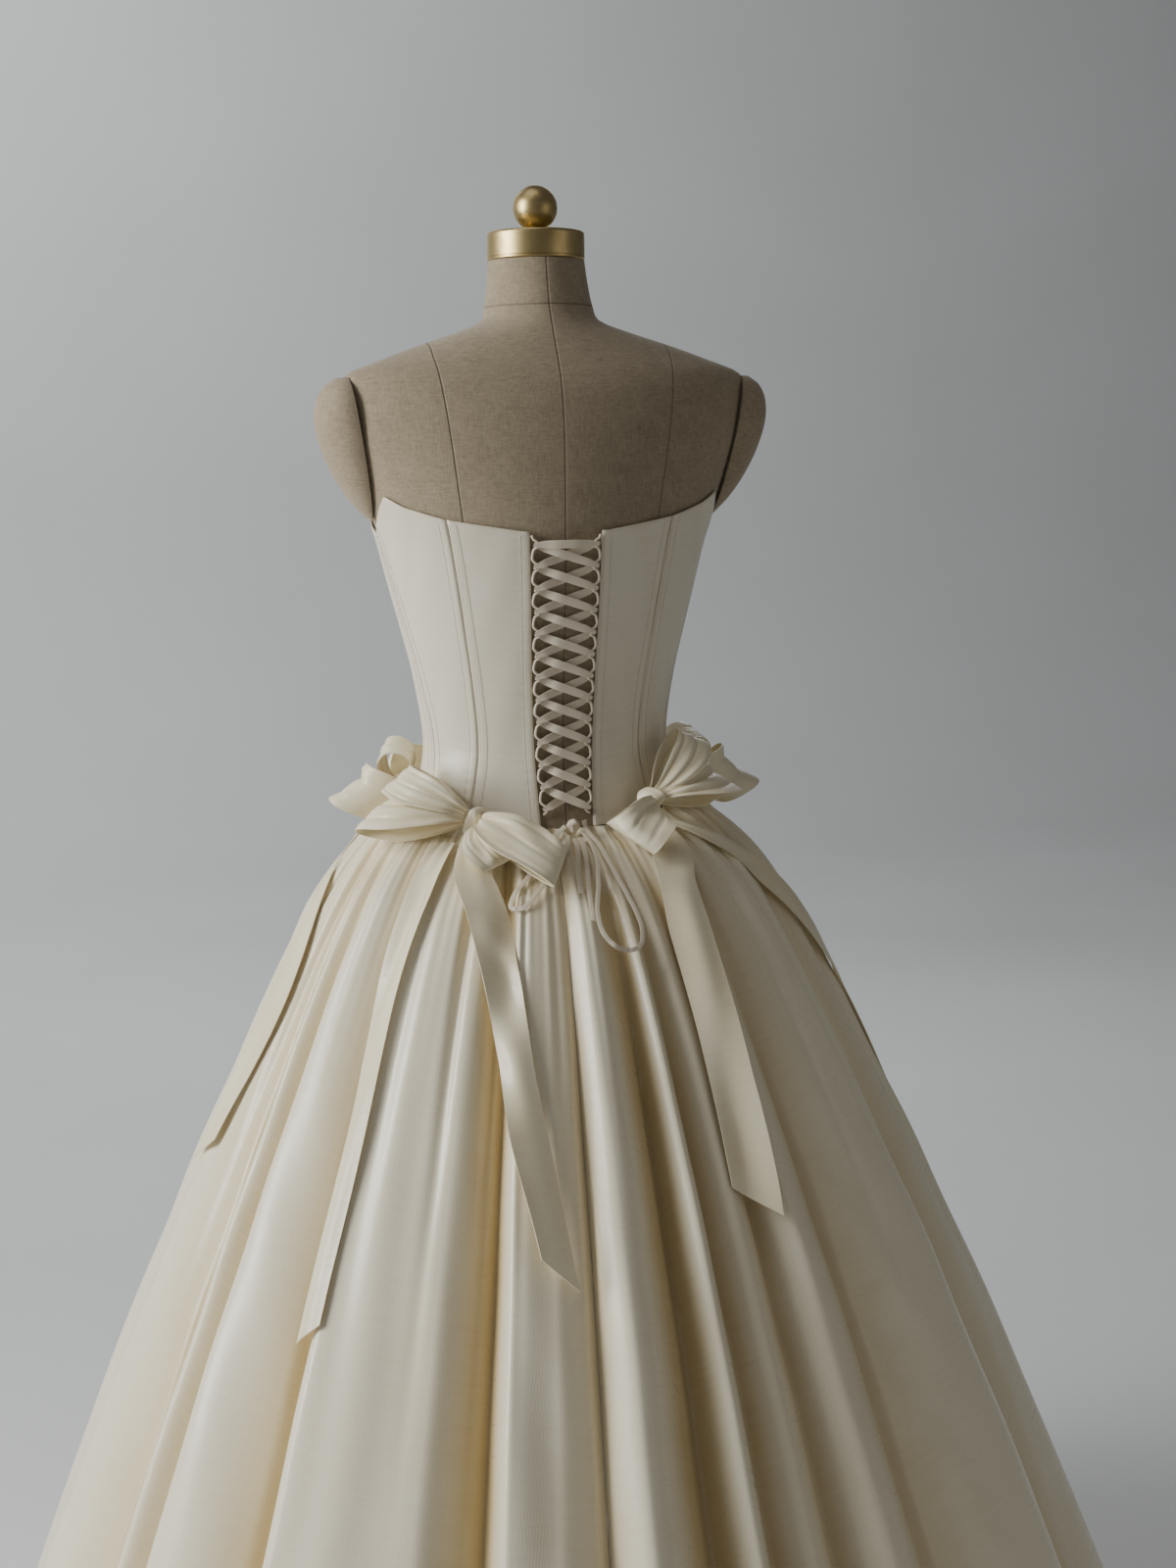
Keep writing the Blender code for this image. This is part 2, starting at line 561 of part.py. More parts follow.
def seam_angle(name, height):
    """Degrees from the centre back of a bodice seam, or of the edge of the lacing."""
    if name == "lacing":
        half_width = read_row(BODY_SECTIONS, height)[0]
        return CENTRE_BACK - degrees(acos(read_row(LACING_EDGE, height)[0] / half_width))
    top, waist, foot = BODICE_SEAMS[name]
    return read_row(((SEAM_LEVELS[2], foot), (SEAM_LEVELS[1], waist), (SEAM_LEVELS[0], top)), height)[0]


def bodice_point(side, from_centre, share, out):
    """A point of the bodice: share 0 at the waist seam, 1 at the top edge."""
    foot = read_row(BODICE_FOOT, from_centre)[0]
    height = foot + (read_line(BODICE_TOP, from_centre) - foot) * share
    return body_point(CENTRE_BACK - side * from_centre, height, out)


def seam_on_row(name, share):
    """Degrees from the centre back at which a seam crosses one row of the bodice's cloth."""
    angle = seam_angle(name, WAIST_SEAM + 0.25 * share)
    for _ in range(6):
        foot = read_row(BODICE_FOOT, angle)[0]
        angle = seam_angle(name, foot + (read_line(BODICE_TOP, angle) - foot) * share)
    return angle


def make_panel(name, side, first, last, columns):
    """One bodice panel between two seams, as a closed wall."""
    def place(column, row, inside):
        start = seam_on_row(first, row) + (0.0 if first == "lacing" else SEAM_HALF_GAP)
        end = seam_on_row(last, row) - SEAM_HALF_GAP
        out = BODICE_CLEARANCE + (0.0 if inside else BODICE_WALL)
        return bodice_point(side, start + (end - start) * column, row, out)

    cloth_wall(name, "duchess_satin", columns, BODICE_ROWS, place)


def make_centre_front():
    """The centre front panel runs from one front princess seam to the other."""
    def place(column, row, inside):
        turn = (180.0 - seam_on_row("front_princess", row) - SEAM_HALF_GAP) * column
        out = BODICE_CLEARANCE + (0.0 if inside else BODICE_WALL)
        return bodice_point(1.0 if turn <= 0.0 else -1.0, 180.0 - abs(turn), row, out)

    cloth_wall("bodice_centre_front", "duchess_satin", (-1.0, -0.6, -0.2, 0.2, 0.6, 1.0), BODICE_ROWS, place)


def make_bodice():
    even = (0.0, 0.25, 0.5, 0.75, 1.0)
    peaked = (0.0, 0.30, 0.56, 0.78, 1.0)
    panels = (
        ("centre_back", "lacing", "back_princess", (0.0, 0.34, 0.67, 1.0)),
        ("side_back", "back_princess", "side_back", peaked),
        ("side", "side_back", "side_front", (0.0, 0.34, 0.67, 1.0)),
        ("side_front", "side_front", "front_princess", even),
    )
    for side, hand in ((1.0, "left"), (-1.0, "right")):
        for panel, first, last, columns in panels:
            make_panel(f"bodice_{panel}_{hand}", side, first, last, columns)
    make_centre_front()


# Back lacing

def make_loop_tapes():
    """A rouleau on each edge of the lacing, bent into a row of loops."""
    shape = ((8.2, 0.0), (4.8, 0.30), (2.0, 1.0), (-2.0, 1.0), (-4.8, 0.30))
    for side, hand in ((1.0, "left"), (-1.0, "right")):
        route = []
        for k in range(LOOP_COUNT):
            for rise, share in shape:
                height = FIRST_LOOP - LOOP_PITCH * k + rise * MM
                x = read_row(LACING_EDGE, height)[0] - 1.7 * MM - LOOP_REACH * share
                route.append(back_point(side * x, height, 3.1 * MM))
        curve = bpy.data.curves.new(f"loop_tape_{hand}", "CURVE")
        curve.dimensions = "3D"
        curve.bevel_depth = ROULEAU_RADIUS
        curve.bevel_resolution = 1
        curve.use_fill_caps = True
        spline = curve.splines.new("POLY")
        spline.points.add(len(route) - 1)
        for spot, point in zip(spline.points, route):
            spot.co = (*point, 1.0)
        add_piece(f"loop_tape_{hand}", curve, "lace_ribbon")


def strip(name, finish, rows, thickness):
    """A ribbon: each row is the list of points across it, then Solidify gives the cloth its wall."""
    bm = bmesh.new()
    lines = [[bm.verts.new(point) for point in row] for row in rows]
    for first, second in zip(lines, lines[1:]):
        for i in range(len(first) - 1):
            bm.faces.new((first[i], first[i + 1], second[i + 1], second[i]))
    mesh = bpy.data.meshes.new(name)
    bm.to_mesh(mesh)
    bm.free()
    piece = add_piece(name, mesh, finish)
    solid = piece.modifiers.new("cloth", "SOLIDIFY")
    solid.thickness = thickness
    solid.offset = 0.0
    return piece


def make_lacing():
    """The flat lace, threaded as two halves that cross between the loops, over and under in turn."""
    under, over = 1.0 * MM, 5.4 * MM
    for half, first_side in (("lace_half_one", -1.0), ("lace_half_two", 1.0)):
        rows = []
        side = first_side
        if half == "lace_half_one":
            stops = [(-side, 0)] + [(side * (-1.0) ** k, k) for k in range(LOOP_COUNT)]
        else:
            stops = [(side * (-1.0) ** k, k) for k in range(LOOP_COUNT)]
        for step, ((from_side, from_loop), (to_side, to_loop)) in enumerate(zip(stops, stops[1:])):
            z_from, z_to = FIRST_LOOP - LOOP_PITCH * from_loop, FIRST_LOOP - LOOP_PITCH * to_loop
            top_bar = from_loop == to_loop
            crosses_over = top_bar or (to_loop + (half == "lace_half_two")) % 2 == 0
            leaving = over if top_bar else under
            middle = 6.8 * MM if top_bar else 4.6 * MM if crosses_over else 1.7 * MM
            x_from = from_side * (read_row(LACING_EDGE, z_from)[0] - LACE_INSET)
            x_to = to_side * (read_row(LACING_EDGE, z_to)[0] - LACE_INSET)
            for share, lift, width in ((0.0, leaving, 0.45), (0.16, leaving, 0.90), (0.35, middle, 1.0),
                                       (0.65, middle, 1.0), (0.84, over, 0.90), (1.0, over, 0.45)):
                x, z = x_from + (x_to - x_from) * share, z_from + (z_to - z_from) * share
                across = Vector((-(z_to - z_from), x_to - x_from)).normalized()
                if across.y < 0.0:
                    across.negate()
                across *= LACE_WIDTH * width / 2
                rows.append([back_point(x - across.x, z - across.y, lift),
                             back_point(x + across.x, z + across.y, lift)])
        strip(half, "lace_ribbon", rows, RIBBON_WALL)


def make_knot(name, finish, angle, height, half_width, half_height, depth, seat):
    """A soft knot whose flat side follows the gown."""
    radius = carrier_radius(angle, height)
    spots = (-1.0, -0.62, 0.0, 0.62, 1.0)

    def place(column, row, inside):
        squeeze = (1.0 - ROUNDING * row * row, 1.0 - ROUNDING * column * column)
        a = angle + degrees(half_width * column * squeeze[0] / radius)
        z = height + half_height * row * squeeze[1]
        crown = (1.0 - 0.80 * column * column) * (1.0 - 0.72 * row * row)
        return on_gown(a, z, seat if inside else seat + 1.3 * MM + depth * crown)

    cloth_wall(name, finish, spots, spots, place)


def make_bow_loop(bow, loop, aim, length, height, width, bend, tilt, seat):
    """A ribbon loop that leaves the knot, turns back and lies on the gown."""
    angle, level = BOWS[bow]
    radius = carrier_radius(angle, level)
    along = Vector((cos(radians(aim)), sin(radians(aim))))
    across = Vector((-along.y, along.x))
    start = 1.0 / Vector((along.x / KNOT_HALF_WIDTH, along.y / KNOT_HALF_HEIGHT)).length + KNOT_GAP
    rows = []
    for share, rise, spread in LOOP_ROWS:
        centre = along * (start + share * length * MM) + across * (bend * MM * share * share)
        row = []
        for edge in (-0.5, 0.0, 0.5):
            spot = centre + across * (edge * spread * width * MM)
            lift = (seat + rise * (height + tilt * edge)) * MM
            row.append(on_gown(angle + degrees(spot.x / radius), level + spot.y, lift))
        rows.append(row)
    strip(f"{bow}_loop_{loop}", "ribbon_satin", rows, RIBBON_WALL)


def make_tail(bow, tail, width, cut, route):
    """A ribbon tail that hangs on the skirt, cut at 45 degrees at its end."""
    levels = [(-height, angle) for height, angle in route]
    count = 16
    rows = []
    for i in range(count + 1):
        share = (i / count) ** 1.35
        key = levels[0][0] + (levels[-1][0] - levels[0][0]) * share
        angle = read_row(levels, key)[0]
        height = -key
        spread = 0.5 + 0.5 * ease(i / 3)
        row = []
        for edge in (-0.5, 0.0, 0.5):
            slant = cut * edge * width * MM * 0.80 * ease((i - count + 4) / 4)
            level = height + slant
            arc = edge * width * MM * spread / carrier_radius(angle, height)
            row.append(on_gown(angle + degrees(arc), level, 0.0))
        rows.append(row)
    strip(f"{bow}_{tail}", "ribbon_satin", rows, RIBBON_WALL)


def make_bows():
    for bow, (angle, level) in BOWS.items():
        make_knot(f"{bow}_knot", "ribbon_satin", angle, level,
                  KNOT_HALF_WIDTH, KNOT_HALF_HEIGHT, KNOT_DEPTH, KNOT_SEAT)
    for row in BOW_LOOPS:
        make_bow_loop(*row)
    for row in BOW_TAILS:
        make_tail(*row)


def make_lace_ties():
    """The lace's small bow at the foot of the lacing, with one long loop, one short and two ends."""
    make_knot("lace_knot", "lace_ribbon", *LACE_KNOT,
              LACE_KNOT_RADIUS, LACE_KNOT_RADIUS, LACE_KNOT_DEPTH, LACE_KNOT_SEAT)
    for name, route in LACE_TIES.items():
        count = 4 * (len(route) - 1)
        keyed = [(i, *row) for i, row in enumerate(route)]
        spots = [read_row(keyed, (len(route) - 1) * i / count) for i in range(count + 1)]
        centres = [on_gown(angle, height, lift * MM) for angle, height, lift in spots]
        rows = []
        for i, centre in enumerate(centres):
            forward = centres[min(i + 1, count)] - centres[max(i - 1, 0)]
            out = Vector((centre.x, centre.y, 0.10)).normalized()
            across = forward.cross(out).normalized() * TIE_WIDTH / 2
            rows.append([centre - across, centre + across])
        strip(name, "lace_ribbon", rows, RIBBON_WALL)


# Skirt

def fold_angles(first, last):
    """Column angles of a gore: its ends, each fold's crest and valley, and steps between them."""
    marks = sorted({first, last} | {a + turn for a, _ in SKIRT_FOLDS for turn in (-360.0, 0.0, 360.0)
                                    if first < a + turn < last})
    columns = []
    for low, high in zip(marks, marks[1:]):
        steps = min(FOLD_COLUMNS, max(2, ceil((high - low) / COLUMN_STEP)))
        columns += [low + (high - low) * i / steps for i in range(steps)]
    return columns + [last]


def make_skirt():
    """Seven gores, folded from the waist seam to the hem."""
    for name, (first, last) in GORES.items():
        def place(angle, share, inside, first=first, last=last):
            gap = degrees(SEAM_GAP * 0.6 / skirt_point(angle, share).xy.length)
            shifted = angle + gap if angle == first else angle - gap if angle == last else angle
            return skirt_wall_point(shifted, share, inside)

        cloth_wall(name, "duchess_satin", fold_angles(first, last), SKIRT_ROWS, place)


for old in list(bpy.data.objects):
    bpy.data.objects.remove(old, do_unlink=True)
GOWN = bpy.data.collections.new("wedding_dress")
bpy.context.scene.collection.children.link(GOWN)

make_torso()
make_arm_caps()
make_neck_fittings()
make_stand()
make_bodice()
make_loop_tapes()
make_lacing()
make_lace_ties()
make_skirt()
make_bows()
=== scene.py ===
# %% [markdown]
# # Lesson: dressing a ball gown in cells
# This script turns a imported CAD gown into a finished picture. It loads the solids as a fixed frame,
# rebuilds each piece of cloth at a fine scale on the same surface, and gives every piece a material.
# Each cell below does one job and prints what it made.
#
# ## 1. Load the frame

# %%
import json

import bpy
import numpy as np
from math import atan2, cos, pi, radians, sin
from mathutils import Matrix, Vector

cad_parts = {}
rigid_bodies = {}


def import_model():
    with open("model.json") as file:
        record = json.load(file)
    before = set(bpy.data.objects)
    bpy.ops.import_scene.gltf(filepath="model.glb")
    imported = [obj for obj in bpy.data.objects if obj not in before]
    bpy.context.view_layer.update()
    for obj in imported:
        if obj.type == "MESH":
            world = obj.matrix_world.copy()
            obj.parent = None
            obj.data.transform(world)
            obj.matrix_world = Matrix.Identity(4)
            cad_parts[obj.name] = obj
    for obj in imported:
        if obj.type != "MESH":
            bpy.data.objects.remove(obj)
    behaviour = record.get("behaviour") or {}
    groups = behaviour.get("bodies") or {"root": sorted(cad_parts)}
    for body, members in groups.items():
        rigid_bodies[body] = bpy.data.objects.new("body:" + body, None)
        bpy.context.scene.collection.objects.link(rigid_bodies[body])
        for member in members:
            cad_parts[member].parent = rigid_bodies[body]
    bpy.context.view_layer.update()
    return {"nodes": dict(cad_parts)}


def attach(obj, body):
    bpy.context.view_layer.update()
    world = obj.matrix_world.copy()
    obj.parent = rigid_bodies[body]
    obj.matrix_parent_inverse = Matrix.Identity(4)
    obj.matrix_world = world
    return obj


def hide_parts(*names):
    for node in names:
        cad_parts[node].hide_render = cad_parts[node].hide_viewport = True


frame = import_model()
nodes = frame["nodes"]
MM = 0.001
print("solids in the frame:", len(nodes))

# %% [markdown]
# ## 2. The camera
# The camera stands behind the gown, a little to the wearer's left, and looks slightly down.
# The tall frame is the sensor's long side, so the lens follows from the picture's height.

# %%
CAMERA_PLACE = Vector((0.440, 2.070, 1.300))
CAMERA_PITCH, CAMERA_YAW, CAMERA_ROLL = radians(7.68), radians(1.08), radians(-0.93)
SENSOR_HEIGHT = 36.0
FOCAL_SHARE = 2300 / 1600


def make_camera():
    """Build the camera from its place and three turns."""
    heading = atan2(-CAMERA_PLACE.y, -CAMERA_PLACE.x) - CAMERA_YAW
    forward = Vector((cos(heading) * cos(CAMERA_PITCH), sin(heading) * cos(CAMERA_PITCH), -sin(CAMERA_PITCH)))
    level = forward.cross(Vector((0.0, 0.0, 1.0))).normalized()
    upright = level.cross(forward)
    right = level * cos(CAMERA_ROLL) + upright * sin(CAMERA_ROLL)
    up = upright * cos(CAMERA_ROLL) - level * sin(CAMERA_ROLL)
    data = bpy.data.cameras.new("camera")
    data.sensor_fit = "VERTICAL"
    data.sensor_height = SENSOR_HEIGHT
    data.lens = SENSOR_HEIGHT * FOCAL_SHARE
    camera = bpy.data.objects.new("camera", data)
    bpy.context.scene.collection.objects.link(camera)
    turn = Matrix((right, up, -forward)).transposed().to_4x4()
    camera.matrix_world = Matrix.Translation(CAMERA_PLACE) @ turn
    bpy.context.scene.camera = camera
    return camera


camera = make_camera()
print("camera lens in mm:", round(camera.data.lens, 2))

# %% [markdown]
# ## 3. The gown's numbers
# These are the driving sizes of the CAD part, in metres and degrees, so the fine cloth lies on its solids.
# Angles run from the wearer's left (0) over the centre back (90) to the centre front (270).

# %%
# Driving dimensions of the gown
SEAM_GAP = 0.3 * MM
BODICE_WALL = 2.0 * MM
BODICE_CLEARANCE = 1.2 * MM
SKIRT_WALL = 1.3 * MM
WAIST_SEAM = 1.000
HEM = 0.012
CENTRE_BACK = 90.0
CENTRE_FRONT = 270.0

# Driving dimensions of the dress form
NECK_TOP = 1.5000
NECK_CAP_RADIUS = 45.0 * MM
NECK_CAP_HEIGHT = 26.0 * MM
BALL_RADIUS = 20.5 * MM
BALL_COLLAR_HEIGHT = 2.5 * MM
FORM_BOTTOM = 0.822
TORSO_SLACK = 0.3 * MM

# Body sections: height, half width, depth at the back, depth at the front, how far the widest line lies back
BODY_SECTIONS = (
    (0.822, 0.118, 0.076, 0.074, 0.0),
    (0.840, 0.148, 0.100, 0.092, 0.0),
    (0.875, 0.163, 0.114, 0.103, 0.0),
    (0.930, 0.157, 0.107, 0.104, 0.0),
    (0.985, 0.134, 0.091, 0.098, 0.0),
    (1.022, 0.1195, 0.0830, 0.092, 0.0),
    (1.060, 0.1125, 0.0795, 0.087, 0.0),
    (1.121, 0.1205, 0.0850, 0.093, 0.001),
    (1.164, 0.1305, 0.0920, 0.103, 0.002),
    (1.209, 0.1415, 0.0975, 0.113, 0.004),
    (1.255, 0.1540, 0.0995, 0.114, 0.007),
    (1.300, 0.1720, 0.0970, 0.110, 0.012),
    (1.345, 0.1900, 0.0900, 0.104, 0.019),
    (1.378, 0.1930, 0.0770, 0.098, 0.026),
    (1.396, 0.1840, 0.0650, 0.090, 0.030),
    (1.410, 0.1500, 0.0580, 0.081, 0.028),
    (1.422, 0.1170, 0.0540, 0.073, 0.024),
    (1.433, 0.0840, 0.0520, 0.065, 0.018),
    (1.444, 0.0560, 0.0520, 0.057, 0.011),
    (1.457, 0.0505, 0.0495, 0.051, 0.006),
    (1.478, 0.0470, 0.0475, 0.047, 0.002),
    (1.500, 0.0445, 0.0445, 0.0445, 0.0),
)
BUST_HEIGHT = 1.222
BUST_RISE = 0.060
BUST_ANGLE = 37.0
BUST_SPREAD = 25.0
BUST_REACH = 0.022
FORM_BUST_REACH = 0.0198
FRONT_BRIDGE = 0.5

# Armhole plate: a plane that leans in towards its lower end
ARMHOLE_TOP = (0.182, 1.394)
ARMHOLE_FOOT = (0.160, 1.268)
# Arm cap sections: height, reach out of the plate, half depth
ARM_CAP_SECTIONS = (
    (1.2680, 0.0040, 0.012),
    (1.2820, 0.0150, 0.025),
    (1.3010, 0.0250, 0.034),
    (1.3260, 0.0330, 0.040),
    (1.3520, 0.0355, 0.042),
    (1.3720, 0.0310, 0.038),
    (1.3860, 0.0215, 0.029),
    (1.3935, 0.0100, 0.016),
)

# Bodice edges: degrees from the centre back, height
BODICE_TOP = (
    (0.0, 1.2530), (15.0, 1.2560), (41.0, 1.2670), (57.0, 1.2780), (66.0, 1.2880),
    (86.0, 1.2550), (100.0, 1.2640), (125.0, 1.2900), (143.0, 1.3000), (165.0, 1.2830), (180.0, 1.2740),
)
BODICE_FOOT = (
    (0.0, 0.9870), (25.0, 0.9900), (60.0, 1.0040), (90.0, 1.0080), (125.0, 1.0000), (180.0, 0.9800),
)
# Bodice seams: degrees from the centre back at the top, the waist and the foot
SEAM_LEVELS = (1.2900, 1.0600, 0.9900)
BODICE_SEAMS = {
    "back_princess": (40.5, 41.0, 41.5),
    "side_back": (86.0, 73.0, 67.0),
    "side_front": (112.0, 107.0, 104.0),
    "front_princess": (147.0, 152.0, 154.0),
}
SEAM_HALF_GAP = 0.11
# Half of the laced opening: height, distance from the centre back
LACING_EDGE = ((0.980, 0.0238), (1.060, 0.0267), (1.140, 0.0295), (1.260, 0.0330))

# Rouleau loops and the flat lace
LOOP_COUNT = 13
LOOP_PITCH = 20.0 * MM
FIRST_LOOP = 1.2440
ROULEAU_RADIUS = 1.2 * MM
LOOP_REACH = 5.0 * MM
LACE_WIDTH = 7.5 * MM
LACE_INSET = 3.3 * MM

# Skirt sections at nominal heights: height, side radius, depth at the back, depth at the front
SKIRT_SECTIONS = (
    (0.012, 0.592, 0.600, 0.575),
    (0.120, 0.556, 0.562, 0.540),
    (0.260, 0.507, 0.510, 0.492),
    (0.400, 0.452, 0.452, 0.438),
    (0.520, 0.402, 0.402, 0.388),
    (0.640, 0.350, 0.350, 0.336),
    (0.740, 0.304, 0.300, 0.288),
    (0.820, 0.266, 0.258, 0.246),
    (0.880, 0.235, 0.222, 0.212),
    (0.930, 0.205, 0.188, 0.180),
    (0.965, 0.177, 0.153, 0.149),
    (0.988, 0.150, 0.120, 0.122),
)
SKIRT_REFERENCE_RADIUS = 0.45
# Skirt folds at the reference radius: angle, how far the cloth stands out of its mean line in mm
SKIRT_FOLDS = (
    (4.0, 8.0), (19.0, -14.0), (22.5, 2.0), (25.0, -12.0), (30.0, 14.0), (42.0, -20.0),
    (47.0, 22.0), (62.0, 4.0), (69.0, -28.0), (72.5, 12.0), (78.0, 4.0), (83.5, -10.0),
    (88.0, 18.0), (96.0, -30.0), (99.5, 10.0), (102.5, -16.0), (106.0, 2.0), (110.5, -16.0),
    (115.0, 15.0), (122.5, -12.0), (140.0, 20.0), (152.0, -10.0), (165.0, 16.0), (176.0, -16.0),
    (183.0, 14.0), (193.0, -18.0), (199.0, 14.0), (211.0, -14.0), (219.0, 16.0), (231.0, -22.0),
    (236.0, 14.0), (249.0, -12.0), (259.0, 18.0), (272.0, -20.0), (277.0, 16.0), (290.0, -14.0),
    (299.0, 16.0), (308.0, -20.0), (313.0, 14.0), (328.0, -14.0), (337.0, 18.0), (351.0, -14.0),
)
# Drop below the waist seam over which the folds grow to full depth
FOLD_START = 60.0 * MM
GATHER_COUNT = 46
GATHER_DEPTH = 2.2 * MM
GATHER_FADE = 0.060
PLACKET_ANGLE = 91.0
PLACKET_DEPTH = 10.0 * MM
PLACKET_SPREAD = 2.6
PLACKET_DROP = 25.0 * MM
PLACKET_LENGTH = 20.0 * MM
# The gathered seam stands a little proud of the bodice, then the skirt flares out below it
SEAM_STEP = 1.0 * MM
SEAM_EASE = 4.0 * MM
SEAM_FLARE = 12.0 * MM
# Gore seams run down the hidden side of folds
GORES = {
    "skirt_side_back_left": (-9.0, 42.0),
    "skirt_back_left": (42.0, 83.5),
    "skirt_back_right": (83.5, 122.5),
    "skirt_side_back_right": (122.5, 172.0),
    "skirt_side_front_right": (172.0, 231.0),
    "skirt_front": (231.0, 308.0),
    "skirt_side_front_left": (308.0, 351.0),
}

# Ribbon work lies on the gown, a little above its highest folds
RIBBON_CLEARANCE = 1.1 * MM
RIBBON_LEAN = radians(25.0)
RIBBON_OVER_BODICE = 2.0 * MM
# Ribbon above the waist seam stays out over it, less so with height
SEAM_COVER = 4.0 * MM
SEAM_COVER_FADE = 10.0 * MM
CARRIER_OFFSETS = (-5.0, -3.5, -2.0, -1.0, 0.0, 1.0, 2.0, 3.5, 5.0)
KNOT_HALF_WIDTH = 13.0 * MM
KNOT_HALF_HEIGHT = 15.0 * MM
KNOT_DEPTH = 19.0 * MM
ROUNDING = 0.293
KNOT_SEAT = 0.1 * MM
# One loop of a bow: share of its length, of its height and of its width
LOOP_ROWS = (
    (0.00, 0.36, 0.28), (0.14, 0.72, 0.58), (0.42, 1.00, 0.94), (0.70, 0.99, 1.00), (0.90, 0.80, 1.02),
    (1.00, 0.45, 1.04), (0.92, 0.14, 1.02), (0.66, 0.02, 0.98), (0.32, 0.00, 0.70), (0.00, 0.00, 0.28),
)
# Bows: angle and height of the knot
BOWS = {
    "bow_back_left": (48.0, 0.9970),
    "bow_back_right": (131.0, 1.0070),
    "bow_side_left": (-15.0, 1.0080),
    "bow_side_right": (195.0, 1.0080),
}
# Loops of a bow: bow, loop, aim in degrees (0 to the right, 90 up), then in mm its length, height, width,
# bend to one side at the tip, tilt, how much higher one edge stands than the other, and seat, its lowest lift
BOW_LOOPS = (
    ("bow_back_left", "upper", 156.0, 68.0, 34.0, 29.0, 6.0, 10.0, 2.3),
    ("bow_back_left", "lower", 188.0, 62.0, 32.0, 30.0, -4.0, 8.0, 2.3),
    ("bow_back_left", "right", -21.0, 74.0, 20.0, 28.0, -12.0, 0.0, 5.2),
    ("bow_back_left", "fold", -56.0, 40.0, 16.0, 17.0, 6.0, 0.0, 2.3),
    ("bow_back_right", "upper", 46.0, 62.0, 30.0, 27.0, -4.0, -22.0, 2.3),
    ("bow_back_right", "right", 0.0, 60.0, 34.0, 29.0, 4.0, -8.0, 2.3),
    ("bow_back_right", "lower", 216.0, 48.0, 24.0, 28.0, 0.0, -6.0, 2.3),
    ("bow_side_left", "upper", 70.0, 34.0, 30.0, 34.0, 0.0, 0.0, 2.3),
    ("bow_side_left", "front", 172.0, 62.0, 30.0, 38.0, 0.0, 0.0, 2.3),
    ("bow_side_left", "back", -6.0, 30.0, 40.0, 34.0, 0.0, 0.0, 2.3),
    ("bow_side_right", "upper", 110.0, 34.0, 38.0, 34.0, 0.0, 0.0, 2.3),
    ("bow_side_right", "front", 8.0, 62.0, 30.0, 38.0, 0.0, 0.0, 2.3),
    ("bow_side_right", "back", 184.0, 40.0, 46.0, 36.0, 0.0, 0.0, 2.3),
)
# Tails of a bow: bow, tail, width in mm, cut (which edge is longer), then height and angle of each point
BOW_TAILS = (
    ("bow_back_left", "tail_right", 31.0, -1.0, (
        (0.9800, 49.6), (0.960, 55.0), (0.935, 61.0), (0.905, 65.0), (0.870, 68.3),
        (0.803, 72.0), (0.743, 75.0), (0.700, 77.0), (0.655, 78.8))),
    ("bow_back_left", "tail_left", 30.0, 1.0, (
        (0.9800, 42.2), (0.960, 41.8), (0.935, 42.2), (0.903, 42.2), (0.871, 42.5),
        (0.825, 43.4), (0.773, 44.2), (0.700, 44.8), (0.600, 45.0))),
    ("bow_back_right", "tail_left", 34.0, -1.0, (
        (0.9895, 128.0), (0.968, 123.0), (0.942, 118.0), (0.915, 115.2), (0.885, 113.7),
        (0.808, 111.6), (0.750, 110.6), (0.692, 109.5))),
    ("bow_back_right", "tail_right", 30.0, 1.0, (
        (0.9895, 135.5), (0.970, 144.0), (0.945, 152.0), (0.915, 158.5), (0.880, 163.0),
        (0.820, 168.0), (0.760, 171.0), (0.700, 173.0))),
    ("bow_side_left", "tail_back", 33.0, 1.0, (
        (0.9910, -13.0), (0.970, -6.0), (0.935, 1.0), (0.890, 6.5), (0.840, 8.5),
        (0.789, 8.0), (0.740, 6.5), (0.695, 5.0))),
    ("bow_side_right", "tail_back", 33.0, -1.0, (
        (0.9910, 194.0), (0.970, 192.0), (0.935, 190.0), (0.880, 188.0), (0.820, 187.0),
        (0.760, 186.5), (0.690, 186.0), (0.640, 186.0))),
)
# Lace bow at the foot of the lacing: knot, then strips as points of angle, height, lift in mm
LACE_KNOT = (91.5, 0.9890)
LACE_KNOT_RADIUS = 6.0 * MM
LACE_KNOT_DEPTH = 8.0 * MM
LACE_KNOT_SEAT = 0.4 * MM
LACE_TIES = {
    "lace_long_loop": (
        (96.2, 0.9830, 3.0), (95.9, 0.966, 4.0), (93.0, 0.946, 4.5), (90.8, 0.928, 4.5),
        (91.0, 0.911, 4.5), (93.5, 0.899, 4.5), (97.0, 0.8945, 4.5), (100.0, 0.898, 4.5),
        (101.5, 0.910, 4.5), (101.3, 0.926, 4.5), (100.2, 0.945, 5.0), (98.4, 0.972, 6.5),
        (96.3, 0.992, 8.0)),
    "lace_short_loop": (
        (87.3, 0.9885, 3.6), (84.0, 0.984, 1.6), (77.0, 0.970, 0.1), (71.5, 0.953, 0.0), (68.6, 0.9425, 0.0),
        (68.0, 0.932, 0.0), (71.5, 0.932, 0.0), (75.0, 0.943, 0.0), (80.5, 0.960, 0.2), (84.6, 0.9705, 0.8),
        (86.6, 0.976, 1.6), (88.0, 0.981, 3.4)),
    "lace_end_long": (
        (93.2, 0.9795, 3.0), (92.2, 0.967, 2.0), (90.8, 0.953, 2.0), (89.7, 0.937, 2.0), (89.3, 0.920, 2.0)),
    "lace_end_short": ((90.6, 0.9790, 3.2), (89.4, 0.968, 2.8), (88.0, 0.956, 2.3), (87.4, 0.941, 2.0)),
}
TIE_WIDTH = 4.0 * MM
print("tail and loop routes:", len(BOW_TAILS) + len(BOW_LOOPS))


